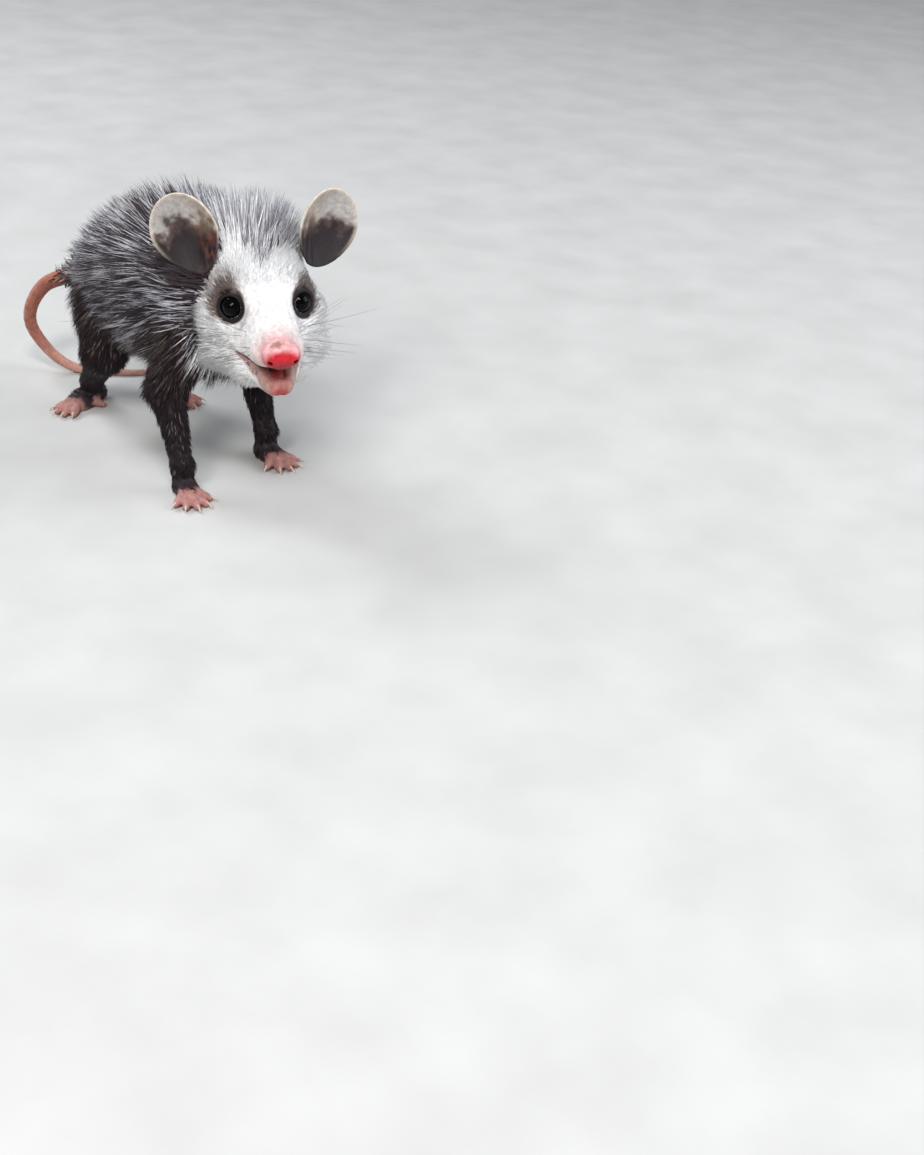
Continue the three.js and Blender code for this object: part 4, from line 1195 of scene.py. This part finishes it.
def tufts(name, region, root, n, lie, which, length, lift, droop, width, tint_root, tint_tip, own, pull,
          bands=3, top=None, ridge=0.55):
    """Builds one layer of the coat, in pieces of under 200,000 triangles."""
    look, slot = COAT[region]
    tint_root = np.broadcast_to(tint_root, root.shape)
    first = unit(n * np.sin(lift)[:, None] + lie * np.cos(lift)[:, None])
    last = unit(n * np.sin(droop)[:, None] + lie * np.cos(droop)[:, None])
    start = root - n * ROOT_DEPTH
    middle = start + first * (length * 0.5)[:, None]
    tip = gathered(root, middle + last * (length * 0.5)[:, None], own, pull)
    middle = mix(middle, start + (tip - start) * 0.5, 0.35)
    if top is not None:
        over = np.maximum(((tip - root) * n).sum(1) - top, 0)
        tip = tip - n * over[:, None]
        middle = middle - n * (over * 0.45)[:, None]
    tip[:, 2] = np.maximum(tip[:, 2], FLOOR_GAP)
    count = 3 * bands + 1
    one = [(0, 2, 1)]
    for i in range(0, count - 4, 3):
        for s, t in ((0, 1), (1, 2), (2, 0)):
            one += [(i + s, i + t, i + 3 + t), (i + s, i + 3 + t, i + 3 + s)]
    one += [(count - 4 + s, count - 4 + (s + 1) % 3, count - 1) for s in range(3)]
    parts = max(1, math.ceil(len(root) * len(one) / PIECE_LIMIT))
    for number, pick in enumerate(np.array_split(np.argsort(root[:, 0]), parts)):
        a, b, c = start[pick], middle[pick], tip[pick]
        uv = unwrapped(root[pick], region, which[pick])
        points, tint, place_uv = [], [], []
        for band in range(bands):
            t = band / bands
            centre = (1 - t) ** 2 * a + 2 * t * (1 - t) * b + t * t * c
            along = unit((1 - t) * (b - a) + t * (c - b))
            side = unit(np.cross(along, n[pick]))
            out = np.cross(side, along)
            half = (width[pick] * 0.5 * (1 - t) ** 0.65)[:, None]
            for across, rise in ((1, -0.2), (-1, -0.2), (0, ridge)):
                points.append(centre + side * half * across + out * half * rise)
                tint.append(mix(tint_root[pick], tint_tip[pick], smooth(0, 1, t + 0.08)))
                place_uv.append(uv + (PATCH * (t - 0.5), PATCH * 0.5 * across))
        points.append(c)
        tint.append(tint_tip[pick])
        place_uv.append(uv + (PATCH * 0.5, 0))
        faces = (np.array(one)[None] + (np.arange(len(pick)) * count)[:, None, None]).reshape(-1, 3)
        points, tint = (np.stack(v, 1).reshape(-1, 3) for v in (points, tint))
        piece = make_mesh(f"{name}_{number + 1}", points, faces, tint, checked=False)
        layer = piece.data.uv_layers.new(name="OFBake")
        place_uv = np.stack(place_uv, 1).reshape(-1, 2)
        layer.data.foreach_set("uv", place_uv[faces.ravel()].astype(np.float32).ravel())
        piece.data.materials.append(look)
    print(name, len(root), "tufts", len(root) * len(one), "triangles", parts, "pieces")


def trunk_roots(kind):
    """Roots on the trunk, with the coat's depth, and how far each place faces up and lies low."""
    p, n, lie, leg_part, which = scatter(HAIRS[kind] * body_only)
    depth = coat_depth(p) * (1 + 0.12 * smooth(30, 44, p[:, 0])) * (1 - 0.5 * leg_part)
    return p, n, lie, which, depth, smooth(0.1, 0.9, n[:, 2]), smooth(58, 38, p[:, 2])


def slant(count, mean, spread, more=0.0):
    """Random angles, in radians."""
    return np.radians(rng.normal(mean, spread, count) + more)


def reaching(depth, lift, droop):
    """How long a hair at these angles is, for its tip to come out to the depth."""
    return depth / ((np.sin(lift) + np.sin(droop)) / 2 + 0.05)


# Soft dark underfur over the trunk
p, n, lie, which, depth, upward, lower = trunk_roots("under")
total = len(p)
lift = slant(total, 40, 7, 10 * upward)
droop = slant(total, 20, 7, 14 * upward)
length = reaching(depth * 0.72, lift, droop) * rng.uniform(0.75, 1.12, total)
dark = mix(BODY_DARK, BELLY_DARK, lower * 0.8)
tip = mix(dark * 1.1, UNDERFUR_TIP, 0.35 * rng.random(total) ** 2)
width = rng.uniform(0.8, 1.25, total)
tufts("under", "trunk", p, n, lie, which, length, lift, droop, width, dark * 0.65, tip, locks(p, 0.12), 0.8,
      top=depth * 0.85)

# Silver guard hairs that stand out of it, in locks that are mostly pale or mostly dark
p, n, lie, which, depth, upward, lower = trunk_roots("guard")
total = len(p)
lift = slant(total, 44, 7, 14 * upward)
droop = slant(total, 22, 8, 18 * upward)
length = reaching(depth * 1.1, lift, droop) * rng.uniform(0.75, 1.1, total)
q = to_head(p)
near_ear = smooth(10, 4, nearest_ear(q)) * smooth(8, 11, np.abs(q[:, 1]))
length = length * (1 - 0.6 * near_ear)
own = locks(p, 0.11)
kind = rng.random(total)[own]
ruff = smooth(24, 40, p[:, 0]) * smooth(48, 58, p[:, 2])
zone = smooth(-0.45, 0.5, noise(p, 9.0, 41))
wisps = smooth(-25, -50, p[:, 0]) * smooth(38, 62, p[:, 2])
share = (0.04 + 0.72 * smooth(0.46, 0.78, kind)) * (0.5 + 0.7 * zone) * 0.85 + 0.12 * upward - 0.1 * lower
share = (share + 0.55 * ruff + 0.25 * wisps) * (1 - near_ear)
silver = rng.random(total) < share
bright = rng.uniform(0.65, 1.4, (total, 1)) * (0.85 + 0.35 * np.maximum(upward, ruff))[:, None]
pale = np.clip(mix(GREY_SILVER, CREAM * 0.95, lower) * bright, 0, 0.95)
tip = np.where(silver[:, None], pale, BODY_DARK * rng.uniform(0.7, 1.7, (total, 1)))
width = rng.uniform(0.26, 0.36, total) + 0.12 * silver
tufts("guard", "trunk", p, n, lie, which, length, lift, droop, width, BODY_DARK * 0.9, tip, own, 0.85,
      top=depth * 1.08)

# Short coat of the legs and feet
p, n, lie, _, which = scatter(HAIRS["leg"] * trunk_share * leg_share)
total = len(p)
height = smooth(16, 62, p[:, 2])
lift = slant(total, 26, 7)
droop = slant(total, 10, 6)
length = (3.1 + 7.2 * height) * rng.uniform(0.7, 1.2, total) * (1 - 0.35 * smooth(9, 4, p[:, 2]))
dark = mix(LEG_DARK, BODY_DARK, height)
light = rng.random(total) < 0.015 + 0.16 * height
pale = CREAM * rng.uniform(0.25, 0.7, (total, 1))
tip = np.where(light[:, None], pale, dark * rng.uniform(0.8, 2.0, (total, 1)))
width = rng.uniform(0.3, 0.6, total)
tufts("leg_coat", "leg", p, n, lie, which, length, lift, droop, width, dark, tip, locks(p, 0.08), 0.45,
      bands=2)

# Soft face and cheek fur
p, n, lie, _, which = scatter(HAIRS["head"] * head_share * (1 - bare_share), 0.12)
total = len(p)
q = to_head(p)
x, y, z = q.T
depth = head_coat(q)
crown = smooth(-6, -16, x) * smooth(4, 10, z)
ear = nearest_ear(q)
beside_ear = smooth(8, 2, ear) * smooth(24, 18, np.abs(y))
under_ear = smooth(9, 3, ear) * smooth(9, 12, np.abs(y))
below = smooth(-12, -18, z) * smooth(21, 8, x)
short = smooth(2.4, 0.9, depth)
lift = np.radians(rng.normal(17, 4, total) - 8 * short + 14 * smooth(2, 6, depth) + 16 * crown + 10 * below)
droop = np.radians(rng.normal(6, 3, total) - 2 * short + 9 * smooth(2, 6, depth) + 18 * crown + 12 * below)
length = (1.1 + depth * 2.0 * (1 - 0.65 * under_ear)) * rng.uniform(0.75, 1.15, total)
width = (0.24 + 0.045 * depth) * rng.uniform(0.8, 1.2, total)
marking, wedge = face_marking(q + rng.normal(0, 0.55, q.shape))
streak = rng.random(total) < wedge * 0.8
streak &= rng.random(total) > 0.8 * beside_ear
marking = np.where(streak[:, None], CROWN_GREY, marking)
tip = np.clip(marking * rng.uniform(0.93, 1.06, (total, 1)), 0, 1)
silvered = streak & (rng.random(total) < 0.42)
tip = np.where(silvered[:, None], GREY_SILVER * 0.9, tip)
tufts("face", "head", p, n, lie, which, length, lift, droop, width, marking * 0.96, tip, locks(p, 0.08), 0.4,
      bands=2, ridge=0.32)

# Whiskers: rows on the muzzle, each with its height and number, and a few on the cheeks and over the eyes
WHISKER_ROWS = ((-4.5, 5), (-7.0, 6), (-9.5, 5))
WHISKER_RADII = np.linspace(0.085, 0.02, TUBE_POINTS)
whiskers = []
for side in LEFT_RIGHT:
    for row, (high, count) in enumerate(WHISKER_ROWS):
        for k in range(count):
            at = (26.0 - 2.9 * k, 0, high + 0.2 * k)
            out = (-0.35 + 0.08 * row, side, 0.35 - 0.32 * row)
            whiskers.append((at, out, rng.uniform(14, 25) * (0.7 + 0.12 * k)))
    whiskers += [
        ((2.0, 0, -12.0), (-0.6, side, -0.5), 17.0),
        ((-2.0, 0, -10.0), (-0.7, side, -0.2), 18.0),
        ((6.0, side * 6.0, 9.0), (0.2, side * 0.5, 1.0), 12.0),
        ((4.0, side * 7.5, 9.0), (0, side * 0.6, 1), 14.0),
    ]


def to_surface(start, direction, reach=30):
    """The first place on the skull coming in from outside along a line."""
    line = np.asarray(start, float) + unit(direction) * np.linspace(reach, 0, 400)[:, None]
    inside = np.nonzero(skull(line.astype(np.float32)) < 0)[0]
    return line[inside[0]] if len(inside) else None


paths, shades = [], []
for at, out, reach in whiskers:
    out = unit(np.asarray(out, float))
    root = to_surface(at, out * (1, 1, 0) if abs(at[1]) < 1 else out)
    if root is None:
        continue
    end = root + out * reach + (-0.28 * reach, 0, -0.1 * reach)
    paths.append(from_head(bezier(root - out * 0.8, root + out * reach * 0.55, end, TUBE_POINTS)))
    shades.append(WHISKER_PALE if rng.random() < 0.55 else WHISKER_DARK)
hairs = tubes("whiskers", paths, WHISKER_RADII, 4, shades)
hairs.data.materials.append(COAT["head"][0])

# Camera: the photograph's own framing, worked out from where the eyes stand
CAMERA_AZIMUTH, CAMERA_HEIGHT = 33, 20
CAMERA_DISTANCE, FOCAL_PIXELS = 0.616, 1739
FRAME_WIDE, FRAME_HIGH = 924, 1155
EYES_PIXEL = (266, 304)
SENSOR = 36
eye_middle = Vector((0, 0, 0))
for label in ("left", "right"):
    lo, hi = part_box("eye_" + label)
    eye_middle += (Vector(lo) + Vector(hi)) / 4
a, e = math.radians(CAMERA_AZIMUTH), math.radians(CAMERA_HEIGHT)
back = Vector((math.cos(a) * math.cos(e), -math.sin(a) * math.cos(e), math.sin(e)))
right = Vector((math.sin(a), math.cos(a), 0))
up = back.cross(right)
look = Vector((
    (EYES_PIXEL[0] - FRAME_WIDE / 2) / FOCAL_PIXELS,
    (FRAME_HIGH / 2 - EYES_PIXEL[1]) / FOCAL_PIXELS,
    -1,
)).normalized()
base_turn = Matrix((right, up, back)).transposed()
camera_turn = base_turn @ look.rotation_difference(Vector((0, 0, -1))).to_matrix()
camera = bpy.data.objects.new("camera", bpy.data.cameras.new("camera"))
camera.data.lens = FOCAL_PIXELS * SENSOR / FRAME_HIGH
camera.data.clip_start = 0.01
camera.matrix_world = Matrix.Translation(eye_middle + back * CAMERA_DISTANCE) @ camera_turn.to_4x4()
bpy.context.scene.collection.objects.link(camera)
bpy.context.scene.camera = camera

# Floor and light
FLOOR_HALF = 4
floor_mesh = bpy.data.meshes.new("floor")
corners = [(x * FLOOR_HALF, y * FLOOR_HALF, 0) for x, y in ((-1, -1), (1, -1), (1, 1), (-1, 1))]
floor_mesh.from_pydata(corners, [], [(0, 1, 2, 3)])
floor = bpy.data.objects.new("floor", floor_mesh)
floor_stops = ((0.3, (0.52, 0.515, 0.50)), (0.7, (0.57, 0.565, 0.55)))
floor_look = grained("floor", 0.7, specular=0.3, scale=0.03, detail=5.0, colours=floor_stops,
                     rough=(0.6, 0.8), strength=0.05, distance=0.0005)
floor.data.materials.append(floor_look)
bpy.context.scene.collection.objects.link(floor)

# Each light's place and size in metres, its power and its colour
LIGHTS = {
    "key_low": ((0.72, -0.95, 0.92), 0.36, 10.5, (1, 0.985, 0.96)),
    "key_high": ((0.8, -0.5, 1.15), 0.36, 10.5, (0.97, 0.985, 1)),
    "fill": ((0.7, 0.8, 0.6), 0.9, 9, (0.92, 0.96, 1)),
    "rim": ((-0.9, -0.2, 0.9), 0.5, 9, (0.93, 0.96, 1)),
}
LIT_PLACE = Vector((0, 0, 0.05))
for name, (at, size, power, colour) in LIGHTS.items():
    lamp = bpy.data.lights.new(name, "AREA")
    lamp.size, lamp.energy, lamp.color = size, power, colour
    light = bpy.data.objects.new(name, lamp)
    light.location = at
    light.rotation_euler = (LIT_PLACE - light.location).to_track_quat("-Z", "Y").to_euler()
    bpy.context.scene.collection.objects.link(light)
world = bpy.data.worlds.new("world")
world.use_nodes = True
sky = world.node_tree.nodes["Background"]
sky.inputs["Color"].default_value = (0.88, 0.92, 1, 1)
sky.inputs["Strength"].default_value = 0.27
bpy.context.scene.view_settings.view_transform = "Standard"
bpy.context.scene.world = world
